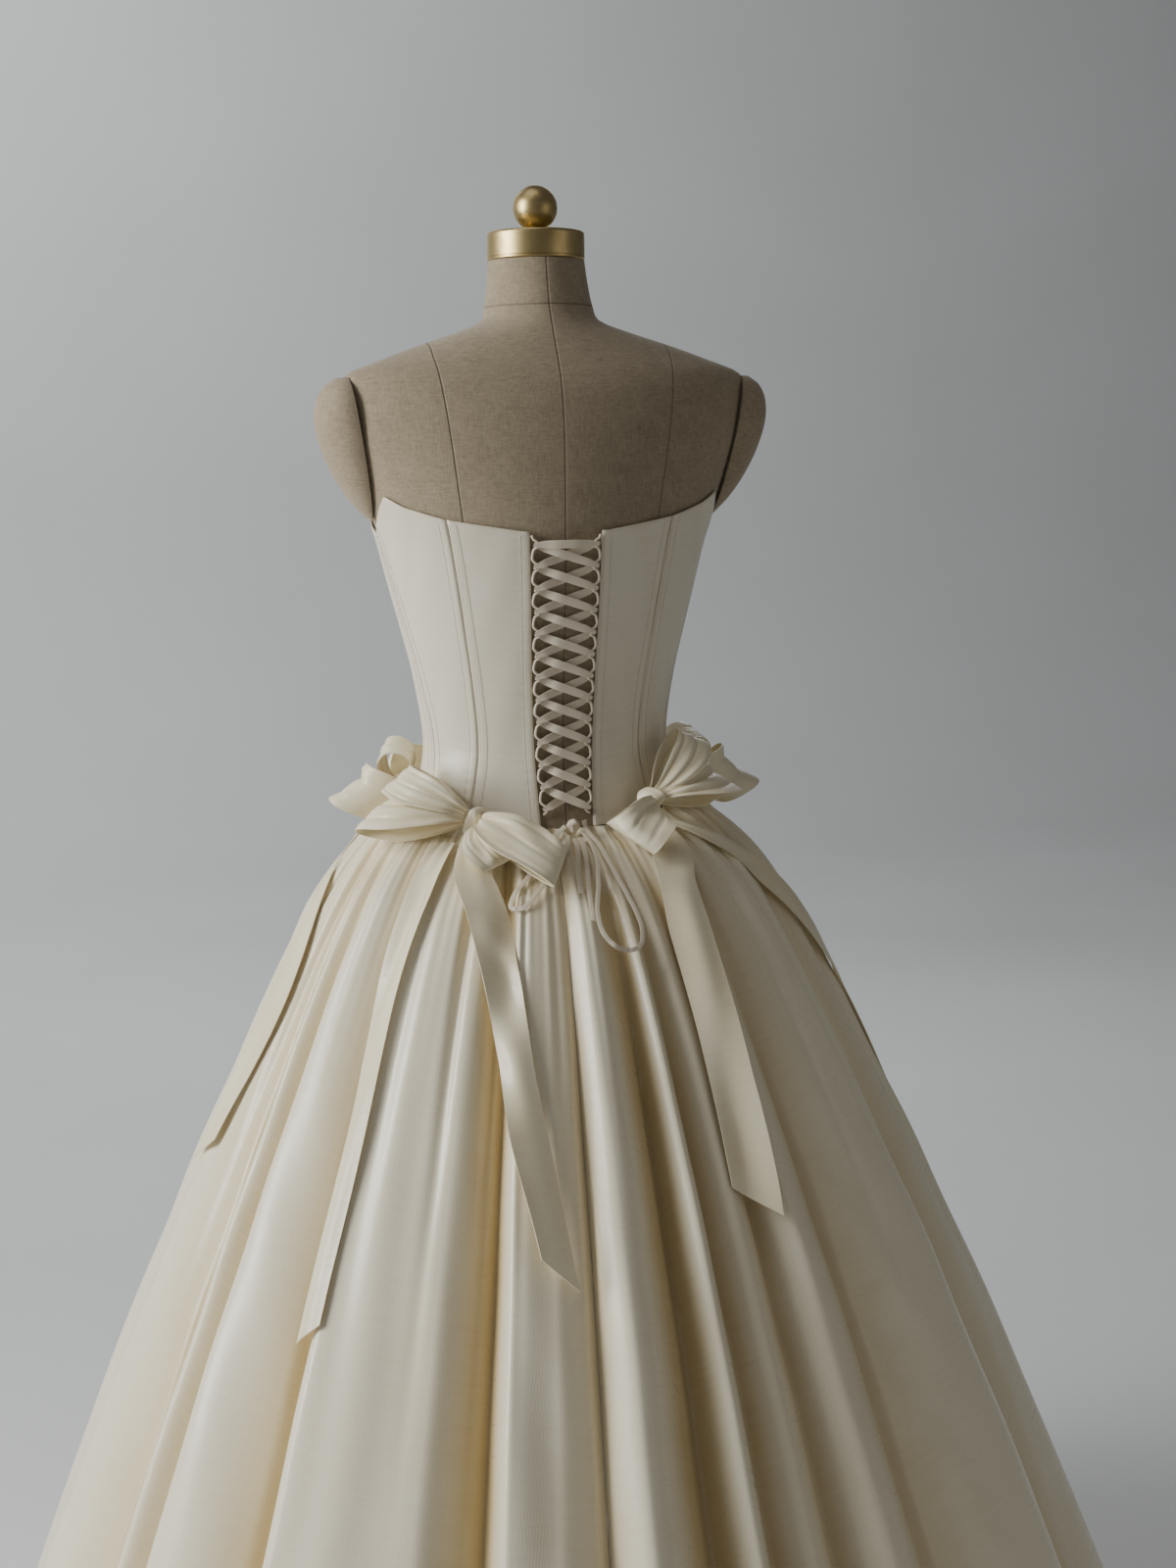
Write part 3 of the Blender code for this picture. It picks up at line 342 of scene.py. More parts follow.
# %% [markdown]
# ## 4. Reading tables
# A surface here is a few rows of numbers read smoothly in between. NumPy reads whole grids at once.

# %%
def read_row(table, key):
    """Smooth values of a table whose first column rises, one array for each further column."""
    rows = np.array(table, float)
    key = np.clip(np.asarray(key, float), rows[0, 0], rows[-1, 0])
    k = np.clip(np.searchsorted(rows[:, 0], key, side="right") - 1, 0, len(rows) - 2)
    before, low = rows[np.maximum(k - 1, 0)], rows[k]
    high, after = rows[k + 1], rows[np.minimum(k + 2, len(rows) - 1)]
    span = high[..., :1] - low[..., :1]
    t = (key[..., None] - low[..., :1]) / span
    slope_low = (high - before) / (high[..., :1] - before[..., :1])
    slope_high = (after - low) / (after[..., :1] - low[..., :1])
    value = ((2 * t**3 - 3 * t**2 + 1) * low + (t**3 - 2 * t**2 + t) * span * slope_low
             + (3 * t**2 - 2 * t**3) * high + (t**3 - t**2) * span * slope_high)
    return np.moveaxis(value[..., 1:], -1, 0)


def read_line(table, key):
    """Straight-line values of a two-column table, with its corners kept sharp."""
    rows = np.array(table, float)
    return np.interp(key, rows[:, 0], rows[:, 1])


def ease(t):
    t = np.clip(t, 0.0, 1.0)
    return t * t * (3.0 - 2.0 * t)


def bell(distance, spread):
    return np.exp(-(np.asarray(distance) / spread) ** 2)


def from_back(angle):
    """Degrees between an angle and the centre back."""
    return np.abs((np.asarray(angle, float) - CENTRE_BACK + 180.0) % 360.0 - 180.0)


print("body width at the waist in mm:", round(2000 * float(read_row(BODY_SECTIONS, WAIST_SEAM + 0.06)[0])))

# %% [markdown]
# ## 5. The body, the bodice and the skirt as surfaces
# Each function takes arrays of angles and heights and gives back points.
# `on_gown` lies above the skirt's highest folds, and carries the ribbons.

# %%
def bust_reach(angle, height, reach, bridge):
    from_front = 180.0 - from_back(angle)
    share = bell(from_front - BUST_ANGLE, BUST_SPREAD)
    share = np.where(from_front < BUST_ANGLE, share + (1.0 - share) * bridge, share)
    return reach * bell(height - BUST_HEIGHT, BUST_RISE) * share


def body_point(angle, height, out=0.0, reach=BUST_REACH, bridge=FRONT_BRIDGE):
    """Points of the body's surface, or off it by a distance."""
    angle, height = np.broadcast_arrays(np.asarray(angle, float), np.asarray(height, float))
    half_width, back, front, set_back = read_row(BODY_SECTIONS, height)
    t = np.radians(angle)
    depth = np.where(np.sin(t) >= 0.0, back, front)
    nx, ny = np.cos(t) * depth, np.sin(t) * half_width
    off = (out + bust_reach(angle, height, reach, bridge)) / np.hypot(nx, ny)
    return np.stack([half_width * np.cos(t) + nx * off, set_back + depth * np.sin(t) + ny * off, height], -1)


def back_point(x, height, out):
    """Points on the form's back at distances x from the centre back."""
    return body_point(np.degrees(np.arccos(x / read_row(BODY_SECTIONS, height)[0])), height, out)


def bodice_foot(angle):
    return read_row(BODICE_FOOT, from_back(angle))[0]


def fold_offset(angle):
    """How far the folded skirt stands out of its mean line at the reference radius."""
    rows = np.array(((SKIRT_FOLDS[-1][0] - 360.0, SKIRT_FOLDS[-1][1]),) + SKIRT_FOLDS
                    + ((SKIRT_FOLDS[0][0] + 360.0, SKIRT_FOLDS[0][1]),))
    turn = np.asarray(angle, float) % 360.0
    k = np.clip(np.searchsorted(rows[:, 0], turn, side="right") - 1, 0, len(rows) - 2)
    low, high = rows[k], rows[k + 1]
    share = ease((turn - low[..., 0]) / (high[..., 0] - low[..., 0]))
    return MM * (low[..., 1] + (high[..., 1] - low[..., 1]) * share)


def skirt_point(angle, share, extra=0.0):
    """Points of the skirt's outer face: share 0 at the waist seam, 1 at the hem."""
    angle, share = np.broadcast_arrays(np.asarray(angle, float), np.asarray(share, float))
    nominal = WAIST_SEAM + (HEM - WAIST_SEAM) * share
    height = nominal + (bodice_foot(angle) - SEAM_GAP - WAIST_SEAM) * (1.0 - share)
    drop = WAIST_SEAM - nominal
    t = np.radians(angle)
    top = body_point(angle, height, BODICE_CLEARANCE + BODICE_WALL + SEAM_STEP)
    seam_row = (WAIST_SEAM, body_point(0.0, WAIST_SEAM, SEAM_EASE)[0],
                body_point(CENTRE_BACK, WAIST_SEAM, SEAM_EASE)[1],
                -body_point(CENTRE_FRONT, WAIST_SEAM, SEAM_EASE)[1])
    side, back, front = read_row(SKIRT_SECTIONS + (seam_row,), nominal)
    depth = np.where(np.sin(t) >= 0.0, back, front)
    mean = np.stack([side * np.cos(t), depth * np.sin(t)], -1)
    settle = np.minimum(drop / SEAM_FLARE, 1.0)[..., None]
    flat = top[..., :2] + (mean - top[..., :2]) * settle
    nx, ny = np.cos(t) * depth, np.sin(t) * side
    scale = np.hypot(mean[..., 0], mean[..., 1]) / SKIRT_REFERENCE_RADIUS * ease(drop / FOLD_START)
    gather = GATHER_DEPTH * (1.0 + np.sin(t * GATHER_COUNT)) * np.exp(-drop / GATHER_FADE)
    placket = (PLACKET_DEPTH * bell(angle - PLACKET_ANGLE, PLACKET_SPREAD)
               * bell(drop - PLACKET_DROP, PLACKET_LENGTH))
    off = (fold_offset(angle) * scale + gather - placket + extra) / np.hypot(nx, ny)
    return np.stack([flat[..., 0] + nx * off, flat[..., 1] + ny * off, height], -1)


def carrier_radius(angle, height):
    """Distance from the axis that clears the bodice and the skirt's folds near an angle."""
    angle, height = np.broadcast_arrays(np.asarray(angle, float), np.asarray(height, float))
    foot = bodice_foot(angle)
    reach = np.zeros(angle.shape)
    for offset in CARRIER_OFFSETS:
        body = body_point(angle + offset, height, BODICE_CLEARANCE + BODICE_WALL + RIBBON_OVER_BODICE)
        seam = skirt_point(angle + offset, 0.0)
        body_radius, seam_radius = np.hypot(body[..., 0], body[..., 1]), np.hypot(seam[..., 0], seam[..., 1])
        near = bell(np.maximum(height - foot - SEAM_COVER, 0.0), SEAM_COVER_FADE)
        above = body_radius + near * np.maximum(seam_radius - body_radius, 0.0)
        below = skirt_point(angle + offset, np.clip((foot - height) / (foot - HEM), 0.0, 1.0))
        reach = np.maximum(reach, np.where(height > foot, above, np.hypot(below[..., 0], below[..., 1])))
    return reach + RIBBON_CLEARANCE


def on_gown(angle, height, lift):
    """Points above the gown's surface, lifted outwards and a little up."""
    t = np.radians(angle)
    radius = carrier_radius(angle, height) + np.asarray(lift) * cos(RIBBON_LEAN)
    return np.stack(np.broadcast_arrays(radius * np.cos(t), radius * np.sin(t),
                                        np.asarray(height) + np.asarray(lift) * sin(RIBBON_LEAN)), -1)


def seam_angle(name, height):
    """Degrees from the centre back of a bodice seam, or of the edge of the lacing."""
    if name == "lacing":
        reach = read_row(LACING_EDGE, height)[0] / read_row(BODY_SECTIONS, height)[0]
        return CENTRE_BACK - np.degrees(np.arccos(reach))
    top, waist, foot = BODICE_SEAMS[name]
    return read_row(((SEAM_LEVELS[2], foot), (SEAM_LEVELS[1], waist), (SEAM_LEVELS[0], top)), height)[0]


def bodice_height(from_centre, share):
    foot = read_row(BODICE_FOOT, from_centre)[0]
    return foot + (read_line(BODICE_TOP, from_centre) - foot) * share


def seam_on_row(name, share):
    """Degrees from the centre back at which a seam crosses each row of the bodice's cloth."""
    angle = seam_angle(name, WAIST_SEAM + 0.25 * np.asarray(share))
    for _ in range(6):
        angle = seam_angle(name, bodice_height(angle, share))
    return angle


print("skirt radius at the hem in mm:", round(1000 * float(np.hypot(*skirt_point(0.0, 1.0)[:2]))))

# %% [markdown]
# ## 6. From grids to cloth
# `shell` closes two grids of points into one thin body, with a cloth map in metres for the weave.
# `emboss` moves a grid along its own normals, and `refine` reads a coarse grid smoothly. `closed_loft`
# makes a closed solid from rings, for the rouleaux, the linen and the brass.

# %%
def lengths(grid, axis):
    """Distance along each line of a grid, from its first point."""
    steps = np.linalg.norm(np.diff(grid, axis=axis), axis=-1)
    start = np.zeros_like(np.take(steps, [0], axis=axis))
    return np.concatenate([start, np.cumsum(steps, axis=axis)], axis=axis)


def grid_normals(grid):
    """Unit normals of a grid of points, turned away from the axis of the gown."""
    normal = np.cross(np.gradient(grid, axis=0), np.gradient(grid, axis=1))
    normal /= np.maximum(np.linalg.norm(normal, axis=-1, keepdims=True), 1e-12)
    outward = np.sum(normal[..., :2] * grid[..., :2], axis=-1).mean()
    return normal if outward >= 0.0 else -normal


def emboss(grid, offset):
    return grid + grid_normals(grid) * offset[..., None]


def refine(grid, rows, columns):
    """A finer grid through the same points."""
    for axis, count in ((0, rows), (1, columns)):
        lines = np.moveaxis(np.asarray(grid, float), axis, 0)
        if len(lines) == 1:
            continue
        keys = np.arange(len(lines), dtype=float)[:, None]
        table = np.concatenate([keys, lines.reshape(len(lines), -1)], 1)
        fine = read_row(table, np.linspace(0, len(lines) - 1, count)).T
        grid = np.moveaxis(fine.reshape(count, *lines.shape[1:]), 0, axis)
    return grid


def add_object(name, data, material):
    piece = bpy.data.objects.new(name, data)
    bpy.context.scene.collection.objects.link(piece)
    data.materials.clear()
    data.materials.append(material)
    return piece


def shell(name, outer, inner, material, painted_shade=None):
    """A closed body of cloth between an outer and an inner grid, mapped in metres along the cloth."""
    rows, columns = outer.shape[:2]
    count = rows * columns
    index = np.arange(count).reshape(rows, columns)

    def quads(block):
        return np.stack([block[:-1, :-1], block[:-1, 1:], block[1:, 1:], block[1:, :-1]], -1).reshape(-1, 4)

    rim = np.concatenate([index[0, :], index[1:, -1], index[-1, -2::-1], index[-2:0:-1, 0]])
    turn = np.roll(rim, -1)
    faces = np.concatenate([quads(index), quads(index + count)[:, ::-1],
                            np.stack([turn, rim, rim + count, turn + count], -1)])
    mesh = bpy.data.meshes.new(name)
    verts = np.concatenate([outer.reshape(-1, 3), inner.reshape(-1, 3)])
    normal = np.cross(outer[0, 1] - outer[0, 0], outer[1, 0] - outer[0, 0])
    if np.dot(normal, outer[0, 0] - inner[0, 0]) < 0.0:
        faces = faces[:, ::-1]
    mesh.from_pydata(verts.tolist(), [], faces.tolist())
    mesh.shade_smooth()
    mesh.set_sharp_from_angle(angle=radians(60.0))
    across, along = lengths(outer, 1), lengths(outer, 0)
    across = across - across[:, -1:] / 2
    flat = np.tile(np.stack([across, along], -1).reshape(-1, 2), (2, 1))
    loop_verts = np.empty(len(mesh.loops), dtype=np.int32)
    mesh.loops.foreach_get("vertex_index", loop_verts)
    mesh.uv_layers.new(name="cloth").data.foreach_set("uv", flat[loop_verts].astype(np.float32).ravel())
    # Painted shade: these values are stored as the fold attribute, which the satin turns into darker, warmer
    # colour.
    shade = np.zeros((rows, columns)) if painted_shade is None else np.broadcast_to(painted_shade, (rows, columns))
    layer = mesh.attributes.new("fold", "FLOAT", "POINT")
    layer.data.foreach_set("value", np.tile(shade.ravel(), 2).astype(np.float32))
    return add_object(name, mesh, material)


def closed_loft(name, rings, material, sharp_above=None):
    """A closed solid through rings of points."""
    count, steps = rings.shape[:2]
    index = np.arange(count * steps).reshape(count, steps)
    follow = np.roll(index, -1, axis=1)
    faces = np.stack([index[:-1], follow[:-1], follow[1:], index[1:]], -1).reshape(-1, 4).tolist()
    mesh = bpy.data.meshes.new(name)
    mesh.from_pydata(rings.reshape(-1, 3).tolist(), [], faces + [index[0, ::-1].tolist(), index[-1].tolist()])
    mesh.shade_smooth()
    if sharp_above:
        mesh.set_sharp_from_angle(angle=radians(sharp_above))
    return add_object(name, mesh, material)


def hang(piece, slot, *replaced):
    """Finish a piece: it rides on the form, and stands for its solids."""
    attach(piece, "root")
    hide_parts(*replaced)


def cut_size(grid, fullness=1.0):
    """Width, length and area of a piece laid flat; fullness is how much wider its top is cut than it sits."""
    widths = lengths(grid, 1)[:, -1].copy()
    widths[0] *= fullness
    length = float(lengths(grid, 0)[-1].mean())
    width = float(widths.max())
    area = length * float((widths[0] + widths[-1]) / 2 if fullness != 1.0 else widths.mean())
    return width, length, area


print("grids are closed into cloth by shell()")

# %% [markdown]
# ## 7. Materials as sums
# A small class lets node sockets be added, multiplied and compared like numbers, so each material reads
# as a few lines of arithmetic. Only colour, roughness and bump change over a surface.

# %%
class Socket:
    """A node output that can be used in sums."""

    def __init__(self, material, output):
        self.material, self.output = material, output

    def _math(self, kind, *others):
        return self.material.node("ShaderNodeMath", self, *others, operation=kind)

    def __add__(self, other):
        return self._math("ADD", other)

    def __sub__(self, other):
        return self._math("SUBTRACT", other)

    def __mul__(self, other):
        return self._math("MULTIPLY", other)

    def __rmul__(self, other):
        return self._math("MULTIPLY", other)

    def absolute(self):
        return self._math("ABSOLUTE")

    def sine(self):
        return self._math("SINE")

    def power(self, other):
        return self._math("POWER", other)

    def near(self, centre, spread):
        """1 at a value, falling smoothly to 0 at a distance from it."""
        away = (self - centre).absolute()
        return self.material.node("ShaderNodeMapRange", away, 0.0, spread, 1.0, 0.0,
                                  interpolation_type="SMOOTHSTEP")


class Finish:
    """A material with one Principled shader, built by sums of sockets."""

    def __init__(self, name, roughness, metallic=0.0, **constants):
        self.data = bpy.data.materials.new(name)
        self.data.use_nodes = True
        self.tree = self.data.node_tree
        self.shader = self.tree.nodes["Principled BSDF"]
        self.shader.inputs["Roughness"].default_value = roughness
        self.shader.inputs["Metallic"].default_value = metallic
        for key, value in constants.items():
            self.shader.inputs[key.replace("_", " ")].default_value = value

    def node(self, kind, *values, out=0, **settings):
        """Add a node, set its options, and fill its inputs with numbers or sockets."""
        node = self.tree.nodes.new(kind)
        for key, value in settings.items():
            setattr(node, key, value)
        for socket, value in zip([s for s in node.inputs if s.enabled], values):
            if isinstance(value, Socket):
                self.tree.links.new(value.output, socket)
            elif value is not None:
                socket.default_value = value
        return Socket(self, [s for s in node.outputs if s.enabled][out])

    def place(self, kind="Object"):
        """x, y and z of the object's own coordinates, or along the cloth in metres."""
        coordinates = self.tree.nodes.new("ShaderNodeTexCoord")
        vector = Socket(self, coordinates.outputs[kind])
        return vector, [self.node("ShaderNodeSeparateXYZ", vector, out=i) for i in range(3)]

    def attribute(self, name):
        node = self.tree.nodes.new("ShaderNodeAttribute")
        node.attribute_name = name
        return Socket(self, node.outputs["Fac"])

    def noise(self, vector, scale, detail=2.0, roughness=0.5, stretch=None):
        """Noise, drawn out along the axes whose stretch is below 1."""
        if stretch:
            vector = self.node("ShaderNodeVectorMath", vector, stretch, operation="MULTIPLY")
        return self.node("ShaderNodeTexNoise", vector, scale, detail, roughness, noise_dimensions="3D")

    def blend(self, share, first, second):
        node = self.tree.nodes.new("ShaderNodeMix")
        node.data_type = "RGBA"
        for socket, value in ((node.inputs[0], share), (node.inputs[6], first), (node.inputs[7], second)):
            if isinstance(value, Socket):
                self.tree.links.new(value.output, socket)
            else:
                socket.default_value = value
        return Socket(self, node.outputs[2])

    def use(self, **inputs):
        for key, value in inputs.items():
            self.tree.links.new(value.output, self.shader.inputs[key.replace("_", " ")])

    def bump(self, height, distance, strength=1.0):
        node = self.tree.nodes.new("ShaderNodeBump")
        node.inputs["Strength"].default_value = strength
        node.inputs["Distance"].default_value = distance
        self.tree.links.new(height.output, node.inputs["Height"])
        self.tree.links.new(node.outputs["Normal"], self.shader.inputs["Normal"])


def rgb(red, green, blue):
    """A display colour from 0 to 255, as the linear colour that a shader takes."""
    parts = [c / 255 for c in (red, green, blue)]
    return (*[c / 12.92 if c <= 0.04045 else ((c + 0.055) / 1.055) ** 2.4 for c in parts], 1.0)


# Waves of the weave, as turns of a sine along each metre
FLOAT_COUNT, PICK_COUNT, LINEN_COUNT = 2400.0, 5200.0, 3900.0
# The form's sewn seams: their half width, and the height of the one round the neck
LINEN_SEAM, NECK_SEAM = 0.0013, 1.4575


def satin(name, light, deep, roughness, sheen):
    """Warp-faced satin: long floats, slubs, uneven colour, and painted warm shade in the folds and sunk
    seams.
    """
    finish = Finish(name, roughness, Sheen_Weight=sheen, Sheen_Roughness=0.35, Specular_IOR_Level=0.55)
    cloth, (u, v, _) = finish.place("UV")
    slubs = finish.noise(cloth, 900.0, stretch=(1.0, 0.12, 1.0))
    clouds = finish.noise(cloth, 14.0, 3.0)
    floats = (u * FLOAT_COUNT + (v * 520.0).sine() * 0.6).sine()
    picks = (v * PICK_COUNT + (u * 900.0).sine()).sine()
    # Painted shade: the fold attribute holds how deep each point lies in a fold, crease or sunk seam, and
    # pulls the colour towards deep, the painted shade colour.
    depth = finish.attribute("fold")
    bands = finish.noise(cloth, 260.0, 3.0, stretch=(0.10, 1.0, 1.0))
    # Painted shade in the folds, plus random uneven colour from the noise.
    fold_shade_and_tone = depth * 0.75 + (clouds - 0.5) * 0.25 + (bands - 0.5) * 0.30
    finish.use(Base_Color=finish.blend(fold_shade_and_tone, light, deep),
               Roughness=(slubs - 0.5) * 0.16 + (clouds - 0.5) * 0.12 + (bands - 0.5) * 0.20 + roughness)
    finish.bump(slubs * 0.5 + floats * 0.12 + picks * 0.05 + bands * 0.6, 0.00030, 0.40)
    return finish.data


def make_linen():
    """Plain-woven linen over padding, with its sewn seams pressed in."""
    finish = Finish("linen", 0.88, Sheen_Weight=0.15, Sheen_Roughness=0.5)
    vector, (x, _, z) = finish.place()
    slow = finish.noise(vector, 60.0, 3.0)
    slubs = finish.noise(vector, 700.0, stretch=(1.0, 1.0, 0.15))
    cross = finish.noise(vector, 700.0, stretch=(0.2, 0.2, 1.0))
    warp, weft = (x * LINEN_COUNT + slow * 5.0).sine(), (z * LINEN_COUNT + slow * 5.0).sine()
    seam_x = finish.node("ShaderNodeMapRange", z, 1.26, 1.41, 0.0885, 0.1085)
    princess = (x.absolute() - seam_x).near(0.0, LINEN_SEAM)
    seams = princess + x.near(0.0, LINEN_SEAM) + z.near(NECK_SEAM, LINEN_SEAM)
    weave = warp * weft * 0.5 + slubs + cross
    thread = (slubs + cross) * 0.9 + slow * 0.4 - 0.65
    base = finish.blend(thread, rgb(132, 118, 96), rgb(176, 160, 134))
    finish.use(Base_Color=finish.blend(seams * 0.5, base, rgb(84, 72, 56)))
    finish.bump(weave * 0.25 - seams * 2.5, 0.0005, 0.55)
    return finish.data


def make_brass():
    """Old lacquered brass: brushed round its axis, dulled in patches."""
    finish = Finish("brass", 0.36, 1.0, Anisotropic=0.35)
    vector, _ = finish.place()
    brushed = finish.noise(vector, 2200.0, stretch=(0.05, 0.05, 1.0))
    patches = finish.noise(vector, 45.0, 4.0, 0.6)
    finish.use(Base_Color=finish.blend(patches, rgb(226, 204, 150), rgb(150, 128, 80)),
               Roughness=brushed * 0.14 + patches * 0.16 + 0.20)
    finish.bump(brushed, 0.00025, 0.4)
    return finish.data


def make_steel():
    """Black stove-painted steel with a faint orange peel."""
    finish = Finish("painted_steel", 0.42, Coat_Weight=0.2)
    vector, _ = finish.place()
    peel, dust = finish.noise(vector, 420.0, 2.0), finish.noise(vector, 18.0, 4.0)
    finish.use(Base_Color=finish.blend(dust, rgb(30, 30, 31), rgb(54, 53, 52)),
               Roughness=dust * 0.2 + 0.32)
    finish.bump(peel, 0.0002, 0.3)
    return finish.data


# Each satin's second colour is its painted shade colour, reached in the folds, creases and sunk seams; the
# random noise also leans towards it.
BODICE_SATIN = satin("bodice_satin", rgb(230, 221, 200), rgb(190, 172, 134), 0.34, 0.04)
SKIRT_SATIN = satin("skirt_satin", rgb(238, 229, 204), rgb(200, 174, 116), 0.31, 0.04)
RIBBON_SATIN = satin("ribbon_satin", rgb(240, 230, 200), rgb(204, 178, 126), 0.36, 0.05)
LACE_RIBBON = satin("lace_ribbon", rgb(228, 215, 192), rgb(176, 154, 120), 0.46, 0.08)
THREAD = satin("thread", rgb(196, 184, 164), rgb(170, 154, 128), 0.6, 0.1)
LINEN, BRASS, STEEL = make_linen(), make_brass(), make_steel()
print("materials:", len(bpy.data.materials))


# %% [markdown]
# ## 8. The bodice
# Nine panels, each on its solid's surface. Close to a seam the cloth rolls in, beside it runs a boned
# channel that stands a little proud, and the sewing draws small puckers across it.

# %%
CHANNEL_WIDTH = 8.5 * MM
CHANNEL_RISE = 0.35 * MM
SEAM_ROLL = 0.6 * MM
SEAM_ROLL_WIDTH = 1.2 * MM
PUCKER = 0.22 * MM
PUCKER_PITCH = 8.5 * MM
PUCKER_SPREAD = 6.0 * MM
SLACK = 0.30 * MM
TOP_ROLL = 0.8 * MM
TOP_ROLL_WIDTH = 1.2 * MM
PANEL_ROWS, PANEL_COLUMNS = 110, 44
PANELS = (
    ("centre_back", "lacing", "back_princess"),
    ("side_back", "back_princess", "side_back"),
    ("side", "side_back", "side_front"),
    ("side_front", "side_front", "front_princess"),
)


def channels(grid):
    """Relief of a panel: rolled seams, a channel beside each seam, and puckers along them."""
    from_start = lengths(grid, 1)
    to_end = from_start[:, -1:] - from_start
    up = lengths(grid, 0)
    relief = np.zeros(grid.shape[:2])
    for away, phase in ((from_start, 0.0), (to_end, 1.7)):
        inside = np.clip(away / CHANNEL_WIDTH, 0.0, 1.0)
        relief += CHANNEL_RISE * np.sin(pi * inside) ** 0.7 * (away < CHANNEL_WIDTH)
        relief -= SEAM_ROLL * bell(away, SEAM_ROLL_WIDTH)
        waves = np.sin(up * 2 * pi / PUCKER_PITCH + phase + 1.5 * np.sin(up * 61.0 + phase))
        relief += PUCKER * waves * bell(away - CHANNEL_WIDTH, PUCKER_SPREAD)
    relief += SLACK * np.sin(up * 38.0 + from_start * 90.0) * np.sin(from_start * 55.0 + up * 12.0)
    relief -= TOP_ROLL * bell(up[-1:] - up, TOP_ROLL_WIDTH)
    return relief


def bodice_panel(name, side, first, last):
    rows = np.linspace(0.0, 1.0, PANEL_ROWS)[:, None]
    columns = (0.5 - 0.5 * np.cos(pi * np.linspace(0.0, 1.0, PANEL_COLUMNS)))[None, :]
    if first == "front":
        start = -(180.0 - seam_on_row(last, rows) - SEAM_HALF_GAP)
        turn = start + (-2.0 * start) * columns
        from_centre, hand = 180.0 - np.abs(turn), np.where(turn <= 0.0, 1.0, -1.0)
    else:
        start = seam_on_row(first, rows) + (0.0 if first == "lacing" else SEAM_HALF_GAP)
        from_centre, hand = start + (seam_on_row(last, rows) - SEAM_HALF_GAP - start) * columns, side
    height = bodice_height(from_centre, rows)
    outer = body_point(CENTRE_BACK - hand * from_centre, height, BODICE_CLEARANCE + BODICE_WALL)
    inner = body_point(CENTRE_BACK - hand * from_centre, height, BODICE_CLEARANCE)
    relief = channels(outer)
    # Painted shade where the cloth sinks: in the rolled seams, under the rolled top edge and in the troughs
    # of the puckers and slack.
    painted_shade = np.clip(-relief / MM, 0.0, 1.0) * 0.5
    piece = shell(name + "_satin", emboss(outer, relief), inner, BODICE_SATIN, painted_shade)
    width, length, area = cut_size(outer)
    hang(piece, "bodice_satin", name)
    return outer


panel_grids = {}
for side, hand in ((1.0, "left"), (-1.0, "right")):
    for panel, first, last in PANELS:
        panel_grids[panel, hand] = bodice_panel(f"bodice_{panel}_{hand}", side, first, last)
panel_grids["centre_front", "both"] = bodice_panel("bodice_centre_front", 1.0, "front", "front_princess")
print("bodice panels:", len(panel_grids))

# %% [markdown]
# ## 9. Stitches with Geometry Nodes
# Each stitch line is a row of points beside a seam. One node group spaces small rounded stitches along it,
# turns them along the line, makes them real and gives them their thread.

# %%
STITCH_SPACING = 3.0 * MM
STITCH_LENGTH = 2.3 * MM
THREAD_RADIUS = 0.22 * MM
STITCH_RISE = 0.25 * MM
EDGE_STITCH = 1.9 * MM


def stitch_group():
    group = bpy.data.node_groups.new("stitches", "GeometryNodeTree")
    group.interface.new_socket("Line", in_out="INPUT", socket_type="NodeSocketGeometry")
    wanted = {}
    for name in ("Spacing", "Length", "Radius"):
        socket = group.interface.new_socket(name, in_out="INPUT", socket_type="NodeSocketFloat")
        wanted[name] = socket.identifier
    group.interface.new_socket("Stitches", in_out="OUTPUT", socket_type="NodeSocketGeometry")
    add, link = group.nodes.new, group.links.new
    inside, outside = add("NodeGroupInput"), add("NodeGroupOutput")
    spaced = add("GeometryNodeResampleCurve")
    spaced.mode = "LENGTH"
    link(inside.outputs["Line"], spaced.inputs["Curve"])
    link(inside.outputs["Spacing"], spaced.inputs["Length"])
    ball = add("GeometryNodeMeshUVSphere")
    ball.inputs["Segments"].default_value = 6
    ball.inputs["Rings"].default_value = 4
    link(inside.outputs["Radius"], ball.inputs["Radius"])
    ratio = add("ShaderNodeMath")
    ratio.operation = "DIVIDE"
    link(inside.outputs["Length"], ratio.inputs[0])
    link(inside.outputs["Radius"], ratio.inputs[1])
    half = add("ShaderNodeMath")
    half.operation = "MULTIPLY"
    half.inputs[1].default_value = 0.5
    link(ratio.outputs[0], half.inputs[0])
    size = add("ShaderNodeCombineXYZ")
    size.inputs[0].default_value = 1.0
    size.inputs[1].default_value = 1.0
    link(half.outputs[0], size.inputs[2])
    tangent = add("GeometryNodeInputTangent")
    turn = add("FunctionNodeAlignRotationToVector")
    turn.axis = "Z"
    link(tangent.outputs[0], turn.inputs["Vector"])
    placed = add("GeometryNodeInstanceOnPoints")
    link(spaced.outputs[0], placed.inputs["Points"])
    link(ball.outputs["Mesh"], placed.inputs["Instance"])
    link(turn.outputs[0], placed.inputs["Rotation"])
    link(size.outputs[0], placed.inputs["Scale"])
    real, coat = add("GeometryNodeRealizeInstances"), add("GeometryNodeSetMaterial")
    coat.inputs["Material"].default_value = THREAD
    link(placed.outputs[0], real.inputs[0])
    link(real.outputs[0], coat.inputs["Geometry"])
    link(coat.outputs[0], outside.inputs["Stitches"])
    return group, wanted


STITCHES, STITCH_INPUTS = stitch_group()


